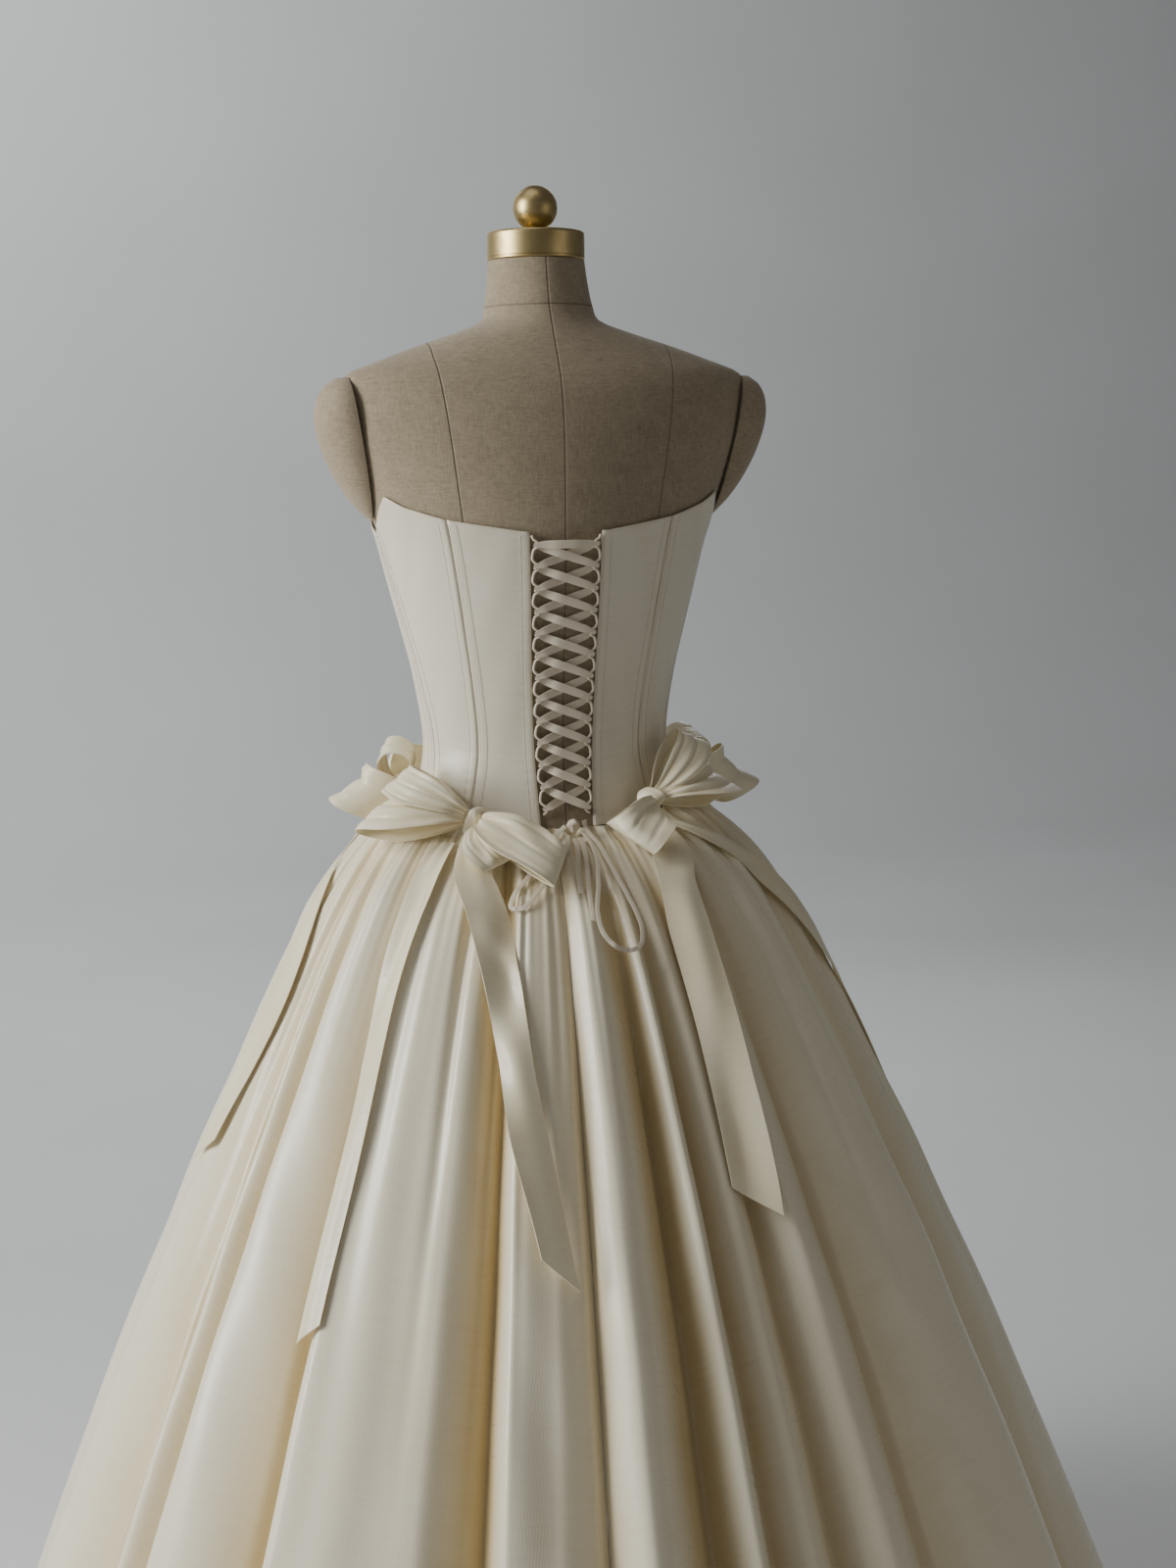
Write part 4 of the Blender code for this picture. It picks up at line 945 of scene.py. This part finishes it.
def sew(name, lines):
    """Turn lines of points into one piece of stitches."""
    curve = bpy.data.curves.new(name + "_line", "CURVE")
    curve.dimensions = "3D"
    for line in lines:
        spline = curve.splines.new("POLY")
        spline.points.add(len(line) - 1)
        places = np.concatenate([line, np.ones((len(line), 1))], 1)
        spline.points.foreach_set("co", places.astype(np.float32).ravel())
    guide = bpy.data.objects.new(name + "_line", curve)
    bpy.context.scene.collection.objects.link(guide)
    work = guide.modifiers.new("stitches", "NODES")
    work.node_group = STITCHES
    for key, value in (("Spacing", STITCH_SPACING), ("Length", STITCH_LENGTH), ("Radius", THREAD_RADIUS)):
        work[STITCH_INPUTS[key]] = value
    shown = guide.evaluated_get(bpy.context.evaluated_depsgraph_get())
    mesh = bpy.data.meshes.new_from_object(shown)
    bpy.data.objects.remove(guide, do_unlink=True)
    mesh.shade_smooth()
    piece = add_object(name, mesh, THREAD)
    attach(piece, "root")
    return piece


def beside_seam(grid, distance, from_end):
    """A line down a panel at a distance from one of its seams."""
    relief = emboss(grid, channels(grid) + STITCH_RISE)
    along = lengths(grid, 1)
    wanted = along[:, -1] - distance if from_end else np.full(len(grid), distance)
    rows = []
    for row, spots, want in zip(relief, along, wanted):
        rows.append([np.interp(want, spots, row[:, i]) for i in range(3)])
    return np.array(rows)[2:-2]


stitch_count = 0
for (panel, hand), grid in panel_grids.items():
    lines = [beside_seam(grid, distance, from_end) for from_end in (False, True)
             for distance in (CHANNEL_WIDTH, EDGE_STITCH)]
    piece = sew(f"stitches_{panel}_{hand}", lines)
    stitch_count += len(piece.data.polygons)
print("stitch faces on the bodice:", stitch_count)

# %% [markdown]
# ## 10. The lacing
# A rouleau on each edge makes thirteen loops. The flat lace crosses between them, over and under in turn.
# Both follow the form's back at small heights above it, so they clear each other as on the real lacing.

# %%
ROULEAU_SIDES = 10
LOOP_SHAPE = ((8.2, 0.0), (4.8, 0.30), (2.0, 1.0), (-2.0, 1.0), (-4.8, 0.30))


def tube(name, route, radius, sides, material):
    """A round tube along a route of points, closed at both ends."""
    forward = np.gradient(route, axis=0)
    forward /= np.linalg.norm(forward, axis=1, keepdims=True)
    out = route * (1.0, 1.0, 0.0)
    out /= np.linalg.norm(out, axis=1, keepdims=True)
    side = np.cross(forward, out)
    side /= np.linalg.norm(side, axis=1, keepdims=True)
    out = np.cross(side, forward)
    turns = 2 * pi * np.arange(sides) / sides
    rings = (route[:, None] + radius * (np.cos(turns)[None, :, None] * side[:, None]
                                        + np.sin(turns)[None, :, None] * out[:, None]))
    return closed_loft(name, rings, material)


for side, hand in ((1.0, "left"), (-1.0, "right")):
    heights, shares = np.array([(FIRST_LOOP - LOOP_PITCH * k + rise * MM, share)
                                for k in range(LOOP_COUNT) for rise, share in LOOP_SHAPE]).T
    x = read_row(LACING_EDGE, heights)[0] - 1.7 * MM - LOOP_REACH * shares
    route = refine(back_point(side * x, heights, 3.1 * MM)[:, None], 5 * len(heights), 1)[:, 0]
    rouleau = tube(f"loops_{hand}", route, ROULEAU_RADIUS, ROULEAU_SIDES, LACE_RIBBON)
    hang(rouleau, "lace_ribbon", f"loop_tape_{hand}")


def ribbon(name, middle, material, painted_shade=None, thickness=0.8 * MM):
    """A ribbon's cloth on both sides of its middle grid."""
    normal = grid_normals(middle) * thickness / 2
    return shell(name, middle + normal, middle - normal, material, painted_shade)


def lace_rows(half, first_side):
    """Points across the flat lace, from loop to loop."""
    stops = [(first_side * (-1.0) ** k, k) for k in range(LOOP_COUNT)]
    if half == "lace_half_one":
        stops = [(-first_side, 0)] + stops
    under, over = 1.0 * MM, 5.4 * MM
    rows = []
    for (from_side, from_loop), (to_side, to_loop) in zip(stops, stops[1:]):
        z_from, z_to = FIRST_LOOP - LOOP_PITCH * from_loop, FIRST_LOOP - LOOP_PITCH * to_loop
        top_bar = from_loop == to_loop
        crosses_over = top_bar or (to_loop + (half == "lace_half_two")) % 2 == 0
        leaving = over if top_bar else under
        middle = 6.8 * MM if top_bar else 4.6 * MM if crosses_over else 1.7 * MM
        x_from = from_side * (read_row(LACING_EDGE, z_from)[0] - LACE_INSET)
        x_to = to_side * (read_row(LACING_EDGE, z_to)[0] - LACE_INSET)
        for share, lift, width in ((0.0, leaving, 0.45), (0.16, leaving, 0.90), (0.35, middle, 1.0),
                                   (0.65, middle, 1.0), (0.84, over, 0.90), (1.0, over, 0.45)):
            across = np.array([-(z_to - z_from), x_to - x_from])
            across *= LACE_WIDTH * width / 2 / np.linalg.norm(across) * (1.0 if across[1] >= 0.0 else -1.0)
            x, z = x_from + (x_to - x_from) * share, z_from + (z_to - z_from) * share
            rows.append([back_point(x + across[0] * e, z + across[1] * e, lift) for e in (-1.0, 0.0, 1.0)])
    return np.array(rows)


def fine_rows(rows, steps, across):
    """Straight steps between rows, smooth across, so that each row stays where it is."""
    keys = np.linspace(0, len(rows) - 1, steps * (len(rows) - 1) + 1)
    low = np.minimum(keys.astype(int), len(rows) - 2)
    share = (keys - low)[:, None, None]
    step = rows[low + 1] - rows[low]
    return refine(rows[low] + step * ease(share) * 0.35 + step * share * 0.65, len(keys), across)


for half, first_side in (("lace_half_one", -1.0), ("lace_half_two", 1.0)):
    grid = fine_rows(lace_rows(half, first_side), 3, 5)
    crown = np.array([0.0, 0.16, 0.22, 0.16, 0.0]) * MM
    flat_lace = ribbon(half + "_flat", grid + grid_normals(grid) * crown[None, :, None], LACE_RIBBON)
    hang(flat_lace, "lace_ribbon", half)
print("loops a side:", LOOP_COUNT)

# %% [markdown]
# ## 11. The lace's bow
# One long loop, one short loop and two free ends leave a small knot. Each is a free cord of its real length.

# %%
def soft_knot(name, angle, height, half_width, half_height, depth, seat, material, pleats):
    """A drawn-up knot whose flat side follows the gown, with pleats across its wrap."""
    spots = np.linspace(-1.0, 1.0, 33)
    column, row = np.meshgrid(spots, spots)
    radius = carrier_radius(angle, height)
    a = angle + np.degrees(half_width * column * (1.0 - ROUNDING * row * row) / radius)
    z = height + half_height * row * (1.0 - ROUNDING * column * column)
    crown = (1.0 - 0.80 * column * column) * (1.0 - 0.72 * row * row)
    wave = np.sin(pi * pleats * column + 0.9 * np.sin(2.0 * row)) * bell(row, 0.75)
    crease = 0.075 * depth * wave * (1.0 - column**4)
    outer = on_gown(a, z, seat + 1.3 * MM + depth * crown + crease)
    inner = on_gown(a, z, np.full_like(a, seat))
    # Painted shade in the troughs of the knot's pleats.
    return shell(name, outer, inner, material, np.clip(-wave, 0.0, 1.0) * 0.6)


knot = soft_knot("lace_bow_knot", *LACE_KNOT, LACE_KNOT_RADIUS, LACE_KNOT_RADIUS,
                 LACE_KNOT_DEPTH, LACE_KNOT_SEAT, LACE_RIBBON, 2.2)
hang(knot, "lace_ribbon", "lace_knot")
for name, route in LACE_TIES.items():
    route = np.array(route)
    count = 8 * (len(route) - 1)
    keyed = np.concatenate([np.arange(len(route))[:, None], route], 1)
    angle, height, lift = read_row(keyed, np.linspace(0, len(route) - 1, count + 1))
    centres = on_gown(angle, height, lift * MM)
    place = np.arange(count + 1)
    forward = centres[np.minimum(place + 1, count)] - centres[np.maximum(place - 1, 0)]
    out = centres * (1.0, 1.0, 0.0) + (0.0, 0.0, 0.10)
    across = np.cross(forward, out)
    across *= TIE_WIDTH / 2 / np.linalg.norm(across, axis=1, keepdims=True)
    spread = np.array([-1.0, -0.5, 0.0, 0.5, 1.0])
    grid = centres[:, None] + across[:, None] * spread[None, :, None]
    grid = grid + grid_normals(grid) * (0.18 * MM * (1.0 - spread**2))[None, :, None]
    tie = ribbon(name + "_tie", grid, LACE_RIBBON)
    hang(tie, "lace_ribbon", name)
print("ties of the lace:", len(LACE_TIES))

# %% [markdown]
# ## 12. The ribbon bows
# Each bow is a knot, puffed loops that turn back on themselves, and tails. Pleats leave the knot and open out
# along the cloth, so they are deep at the knot and gone at the fold.

# %%
LOOP_PLEAT = 2.2 * MM
LOOP_ROOT = 7.0 * MM
KNOT_DRAW = 0.72
LOOP_GRID, TAIL_GRID = (72, 25), (110, 17)
TAIL_STEPS = 16
TAIL_WAVE = 0.9 * MM
TAIL_SINK = 0.75
# How far one edge of each tail stands out, in mm: negative for the edge towards the wearer's left
TAIL_TWISTS = (-10.0, -1.0, 8.0, 3.0, -3.0, 3.0)


def outward(grid, offset):
    """Move points away from the gown, a little up, as the ribbons lean."""
    flat = grid * (1.0, 1.0, 0.0)
    flat /= np.linalg.norm(flat, axis=-1, keepdims=True)
    return grid + (flat * cos(RIBBON_LEAN) + np.array([0.0, 0.0, sin(RIBBON_LEAN)])) * offset[..., None]


def ribbon_loop(bow, loop, aim, length, height, width, bend, tilt, seat, phase):
    angle, level = BOWS[bow]
    radius = float(carrier_radius(angle, level))
    along = np.array([cos(radians(aim)), sin(radians(aim))])
    across = np.array([-along[1], along[0]])
    start = 1.0 / np.linalg.norm(along / (KNOT_HALF_WIDTH, KNOT_HALF_HEIGHT)) - LOOP_ROOT
    rows = []
    for share, rise, spread in LOOP_ROWS:
        centre = along * (start + share * length * MM) + across * (bend * MM * share * share)
        spots = centre + across * (np.array([-0.5, 0.0, 0.5])[:, None] * spread * width * MM)
        lift = (seat + rise * (height + tilt * np.array([-0.5, 0.0, 0.5]))) * MM
        rows.append(on_gown(angle + np.degrees(spots[:, 0] / radius), level + spots[:, 1], lift))
    grid = refine(np.array(rows), *LOOP_GRID)
    v = np.linspace(0.0, 1.0, LOOP_GRID[0])[:, None]
    u = np.linspace(-1.0, 1.0, LOOP_GRID[1])[None, :]
    near_knot = bell(v, 0.30) + bell(1.0 - v, 0.24)
    pleats = 0.5 + 0.5 * np.sin(u * 7.5 + phase + 1.2 * v)
    dents = 0.5 + 0.5 * np.sin(9.0 * v + 2.3 * u + phase) * np.sin(4.0 * u + 5.0 * v + 2 * phase)
    creases = (bell(np.sin(1.3 * pi * u + phase), 0.30) * bell(v - 0.30, 0.22)
               + bell(np.sin(1.1 * pi * u - phase), 0.30) * bell(v - 0.72, 0.16))
    relief = pleats * near_knot + 0.9 * dents * bell(v - 0.42, 0.30) + 0.8 * (1.0 - creases)
    offset = LOOP_PLEAT * relief
    grid = outward(grid, offset * ease(v / 0.04) * ease((1.0 - v) / 0.04))
    name = f"{bow}_loop_{loop}"
    # Painted shade between the pleats near the knot.
    piece = ribbon(name + "_soft", grid, RIBBON_SATIN, (1.0 - pleats) * near_knot * 0.7)
    hang(piece, "ribbon_satin", name)


def settle_on_skirt(rows):
    """Let a hanging ribbon sink part of the way from the folds' crests to the cloth below it."""
    angle = np.degrees(np.arctan2(rows[..., 1], rows[..., 0]))
    radius = np.hypot(rows[..., 0], rows[..., 1])
    foot = bodice_foot(angle)
    share = np.clip((foot - rows[..., 2]) / (foot - HEM), 0.0, 1.0)
    near = [skirt_point(angle + offset, share) for offset in (-1.2, -0.6, 0.0, 0.6, 1.2)]
    cloth = np.max([np.hypot(points[..., 0], points[..., 1]) for points in near], axis=0) + RIBBON_CLEARANCE
    sink = TAIL_SINK * ease((foot - rows[..., 2]) / 0.06)
    wanted = radius + (np.minimum(cloth, radius) - radius) * sink
    return rows * np.stack([wanted / radius, wanted / radius, np.ones_like(radius)], -1)


def ribbon_tail(bow, tail, width, cut, route, phase, twist):
    levels = [(-height, angle) for height, angle in route]
    rows = []
    for i in range(TAIL_STEPS + 1):
        share = (i / TAIL_STEPS) ** 1.35
        key = levels[0][0] + (levels[-1][0] - levels[0][0]) * share
        angle, height = float(read_row(levels, key)[0]), -key
        spread = 0.5 + 0.5 * float(ease(i / 3))
        edges = np.array([-0.5, 0.0, 0.5])
        slant = cut * edges * width * MM * 0.80 * float(ease((i - TAIL_STEPS + 4) / 4))
        arc = edges * width * MM * spread / carrier_radius(angle, height)
        rows.append(on_gown(angle + np.degrees(arc), height + slant, 0.0))
    grid = refine(settle_on_skirt(np.array(rows)), *TAIL_GRID)
    v = np.linspace(0.0, 1.0, TAIL_GRID[0])[:, None]
    u = np.linspace(-1.0, 1.0, TAIL_GRID[1])[None, :]
    wave = 0.5 + 0.5 * np.sin(11.0 * v + 1.3 * u + phase) * np.cos(2.2 * u - 3.0 * v)
    pleat = (0.5 + 0.5 * np.sin(6.0 * u + phase)) * bell(v, 0.16)
    turned_edge = abs(twist) * MM * (0.5 + 0.5 * np.sign(twist) * u) * ease(v / 0.25)
    offset = TAIL_WAVE * (wave + 1.2 * pleat) + turned_edge
    grid = outward(grid, offset)
    # Painted shade in the troughs of the tail's waves.
    piece = ribbon(f"{bow}_{tail}_soft", grid, RIBBON_SATIN, (1.0 - wave) * 0.35)
    hang(piece, "ribbon_satin", f"{bow}_{tail}")


for number, (bow, (angle, level)) in enumerate(BOWS.items()):
    knot = soft_knot(f"{bow}_knot_soft", angle, level, KNOT_DRAW * KNOT_HALF_WIDTH,
                     KNOT_DRAW * KNOT_HALF_HEIGHT, 0.85 * KNOT_DEPTH, KNOT_SEAT,
                     RIBBON_SATIN, 1.8 + 0.3 * number)
    hang(knot, "ribbon_satin", f"{bow}_knot")
for number, row in enumerate(BOW_LOOPS):
    ribbon_loop(*row, phase=1.7 * number)
for number, row in enumerate(BOW_TAILS):
    ribbon_tail(*row, phase=2.1 * number, twist=TAIL_TWISTS[number])
print("bow loops and tails:", len(BOW_LOOPS) + len(BOW_TAILS))

# %% [markdown]
# ## 13. The skirt
# Seven gores on the folded surface of the solids. Small uneven gathers leave the waist, and faint dents
# cross the folds, both pressed inwards so that the ribbons stay clear.

# %%
GORE_ROWS, GORE_COLUMNS = 104, 140
CREASE_DEPTH = 9.0 * MM
DENT_DEPTH = 3.4 * MM
RIPPLE_DEPTH = 8.0 * MM
GATHER_PRESS = 2.6 * MM
TOP_FULLNESS = 1.8


def small_folds(angle, share):
    """Extra relief in metres, never above the solids' own surface."""
    drop = (WAIST_SEAM - HEM) * share
    t = np.radians(angle)
    gathers = 0.5 + 0.5 * np.sin(97.0 * t + 2.0 * np.sin(11.0 * t)) * np.sin(61.0 * t + 1.0)
    gathers = GATHER_PRESS * gathers * np.exp(-drop / 0.070) * ease(drop / 0.008)
    ripple = bell(np.sin(17.0 * t + 2.2 * np.sin(5.0 * t)), 0.42) * (0.65 + 0.35 * np.sin(7.0 * t + 1.0))
    ripple = RIPPLE_DEPTH * ripple * ease(drop / 0.03) * bell(drop, 0.30)
    dents = (0.5 + 0.5 * np.sin(17.0 * drop + 9.0 * t + 2.0 * np.sin(7.0 * t))
             * np.sin(29.0 * t - 11.0 * drop + 1.5 * np.sin(9.0 * drop)))
    dents = DENT_DEPTH * dents * ease((drop - 0.06) / 0.25)
    valleys = [row[0] for row in SKIRT_FOLDS if row[1] < 0.0]
    crease = sum(bell((angle - a + 180.0) % 360.0 - 180.0, 0.9) for a in valleys)
    crease = CREASE_DEPTH * crease * ease((drop - 0.03) / 0.25)
    return -(gathers + ripple + dents + crease)


def valley_shade(angle, share):
    """Painted shade for the skirt: how deep a point lies in the folds, 0 on a crest and 1 at a fold's bottom,
    with more between the waist gathers.
    """
    drop = (WAIST_SEAM - HEM) * share
    depth = np.clip(0.5 - fold_offset(angle) / (40.0 * MM), 0.0, 1.0) * ease(drop / FOLD_START)
    near_seam = (0.5 - 0.5 * np.sin(np.radians(angle) * GATHER_COUNT)) * np.exp(-drop / GATHER_FADE)
    return np.clip(depth ** 2.2 + 0.6 * near_seam, 0.0, 1.0)


for name, (first, last) in GORES.items():
    share = (np.linspace(0.0, 1.0, GORE_ROWS) ** 1.35)[:, None]
    angle = np.linspace(first, last, GORE_COLUMNS)[None, :]
    radius = np.hypot(*np.moveaxis(skirt_point(angle, share), -1, 0)[:2])
    gap = np.degrees(SEAM_GAP * 0.6 / radius)
    angle = angle + gap * (np.linspace(1.0, -1.0, GORE_COLUMNS) ** 9)[None, :]
    outer = skirt_point(angle, share, small_folds(angle, share))
    inner = outer - grid_normals(outer) * SKIRT_WALL
    # Painted shade: the gores darken and warm down in the folds and between the gathers at the waist.
    piece = shell(name + "_satin", outer, inner, SKIRT_SATIN, valley_shade(angle, share))
    width, length, area = cut_size(outer, TOP_FULLNESS)
    hang(piece, "skirt_satin", name)
print("gores:", len(GORES))

# %% [markdown]
# ## 14. The dress form
# A padded linen torso with flat plates at the armholes, two padded caps, and brass at the neck.
# The torso keeps the solid's sections; its sewn seams are in the linen.

# %%
# Edges of the form that turn by more than this many degrees stay sharp
FORM_EDGE = 40.0
TORSO_ROWS, TORSO_SIDES = 150, 120
plate_slope = (ARMHOLE_TOP[0] - ARMHOLE_FOOT[0]) / (ARMHOLE_TOP[1] - ARMHOLE_FOOT[1])
height = np.linspace(FORM_BOTTOM, NECK_TOP - SEAM_GAP, TORSO_ROWS)[:, None]
angle = (360.0 * (np.arange(TORSO_SIDES) + 0.5) / TORSO_SIDES)[None, :]
torso = body_point(angle, height, -TORSO_SLACK, FORM_BUST_REACH, 0.0)
plate = ARMHOLE_TOP[0] + plate_slope * (height - ARMHOLE_TOP[1]) - SEAM_GAP / 2
limit = np.where((height > ARMHOLE_FOOT[1]) & (height < ARMHOLE_TOP[1] + 0.02), plate, 1.0)
torso[..., 0] = np.clip(torso[..., 0], -limit, limit)
hang(closed_loft("torso_linen", torso, LINEN, FORM_EDGE), "linen", "form_torso")

for side, hand in ((1.0, "left"), (-1.0, "right")):
    heights = np.linspace(ARM_CAP_SECTIONS[0][0], ARM_CAP_SECTIONS[-1][0], 48)
    reach, half_depth = read_row(ARM_CAP_SECTIONS, heights)
    edge = ARMHOLE_TOP[0] + plate_slope * (heights - ARMHOLE_TOP[1]) + SEAM_GAP / 2
    centre = read_row(BODY_SECTIONS, heights)[3]
    turns = np.linspace(0.0, pi, 41)
    rings = np.stack([side * (edge[:, None] + reach[:, None] * np.sin(turns)),
                      centre[:, None] + half_depth[:, None] * np.cos(turns),
                      np.repeat(heights[:, None], len(turns), 1)], -1)
    hang(closed_loft(f"arm_cap_{hand}", rings, LINEN, FORM_EDGE), "linen", f"form_arm_cap_{hand}")


def turned(name, profile, material, steps=96):
    """A round piece: its outer profile, top to bottom, turned about the stand's axis."""
    profile = np.array(profile)
    turns = 2 * pi * np.arange(steps) / steps
    rings = np.stack([profile[:, :1] * np.cos(turns), profile[:, :1] * np.sin(turns),
                      np.repeat(profile[:, 1:], steps, 1)], -1)
    return closed_loft(name, rings, material, FORM_EDGE)


CAP_ROUND = 3.0 * MM
COLLAR_ANGLE = radians(24.0)
cap_top = NECK_TOP + NECK_CAP_HEIGHT
corner = [(NECK_CAP_RADIUS - CAP_ROUND + CAP_ROUND * sin(radians(a)),
           cap_top - CAP_ROUND + CAP_ROUND * cos(radians(a))) for a in range(0, 91, 10)]
cap = [(0.0005, cap_top), (0.030, cap_top - 0.1 * MM), *corner, (NECK_CAP_RADIUS, NECK_TOP + 3.4 * MM),
       (NECK_CAP_RADIUS - 0.5 * MM, NECK_TOP + 3.1 * MM), (NECK_CAP_RADIUS - 0.5 * MM, NECK_TOP + 2.7 * MM),
       (NECK_CAP_RADIUS, NECK_TOP + 2.4 * MM), (NECK_CAP_RADIUS, NECK_TOP + 1.0 * MM),
       (NECK_CAP_RADIUS - 1.0 * MM, NECK_TOP), (0.0005, NECK_TOP)]
hang(turned("neck_cap_brass", cap, BRASS), "brass", "form_neck_cap")
collar_foot = cap_top + SEAM_GAP
collar_top = collar_foot + BALL_COLLAR_HEIGHT
ball_centre = collar_top + BALL_RADIUS * cos(COLLAR_ANGLE)
collar = BALL_RADIUS * sin(COLLAR_ANGLE) + 1.5 * MM
ball = [(max(BALL_RADIUS * sin(radians(a)), 0.0003), ball_centre + BALL_RADIUS * cos(radians(a)))
        for a in range(0, 157, 4)]
ball += [(collar - 1.0 * MM, collar_top), (collar, collar_top - 0.6 * MM),
         (collar, collar_foot), (0.0005, collar_foot)]
hang(turned("ball_brass", ball, BRASS), "brass", "form_ball")
for name in ("stand_pole", "stand_base"):
    nodes[name].data.materials.clear()
    nodes[name].data.materials.append(STEEL)
print("brass ball's top in mm:", round(1000 * (ball_centre + BALL_RADIUS)))

# %% [markdown]
# ## 15. Floor, backdrop and light
# A pale floor sweeps up into a pale wall, far enough away for a camera to walk round the gown. A broad cool
# window stands at the left, with a weak warm fill at the right, so the folds turn from light to warm shade.
# A weak light in front of the wearer shows the front without touching the back.

# %%
WALL, WALL_TOP, BEND, FLOOR_REACH = -6.8, 6.5, 1.3, 6.6
WORLD_COLOUR, WORLD_STRENGTH = (0.80, 0.82, 0.86, 1.0), 0.13


def make_stage():
    profile = [(WALL + BEND - BEND * sin(radians(a)), BEND - BEND * cos(radians(a))) for a in range(0, 91, 6)]
    line = [(FLOOR_REACH, 0.0)] + profile + [(WALL, WALL_TOP)]
    mesh = bpy.data.meshes.new("stage")
    verts = [(x, y, z) for y, z in line for x in (-FLOOR_REACH, FLOOR_REACH)]
    faces = [(2 * i, 2 * i + 1, 2 * i + 3, 2 * i + 2) for i in range(len(line) - 1)]
    mesh.from_pydata(verts, [], faces)
    mesh.shade_smooth()
    finish = Finish("stage_paint", 0.9)
    vector, _ = finish.place()
    patches = finish.noise(vector, 1.5, 3.0)
    finish.use(Base_Color=finish.blend(patches, rgb(222, 224, 224), rgb(212, 213, 212)))
    add_object("stage", mesh, finish.data)


def make_light(name, place, aim, size, power, colour):
    data = bpy.data.lights.new(name, "AREA")
    data.shape = "RECTANGLE"
    data.size, data.size_y = size
    data.energy = power
    data.color = colour
    light = bpy.data.objects.new(name, data)
    bpy.context.scene.collection.objects.link(light)
    light.location = place
    light.rotation_euler = (Vector(aim) - Vector(place)).to_track_quat("-Z", "Y").to_euler()


make_stage()
make_light("window", (2.35, 0.30, 1.75), (0.0, 0.1, 0.80), (0.9, 1.9), 82.0, (0.98, 0.99, 0.98))
make_light("fill", (-2.0, 1.9, 1.3), (0.0, 0.0, 0.8), (1.6, 1.8), 4.5, (1.0, 0.92, 0.78))
make_light("top", (0.5, 0.2, 2.9), (0.0, 0.0, 1.0), (1.2, 1.2), 4.0, (1.0, 0.98, 0.95))
make_light("front", (-0.9, -3.2, 2.3), (0.0, 0.0, 0.9), (1.6, 1.6), 16.0, (0.98, 0.99, 1.0))
make_light("wall_wash", (2.07, -3.6, 4.3), (0.17, -6.8, 0.92), (3.0, 1.5), 158.0, (0.97, 0.99, 1.0))
world = bpy.data.worlds.new("studio")
world.use_nodes = True
world.node_tree.nodes["Background"].inputs[0].default_value = WORLD_COLOUR
world.node_tree.nodes["Background"].inputs[1].default_value = WORLD_STRENGTH
bpy.context.scene.world = world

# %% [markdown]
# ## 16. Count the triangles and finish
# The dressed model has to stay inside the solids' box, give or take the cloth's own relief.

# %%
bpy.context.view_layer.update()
triangles = sum(len(p.vertices) - 2 for obj in bpy.data.objects if obj.type == "MESH" and not obj.hide_render
                for p in obj.data.polygons)
print("triangles shown:", triangles)
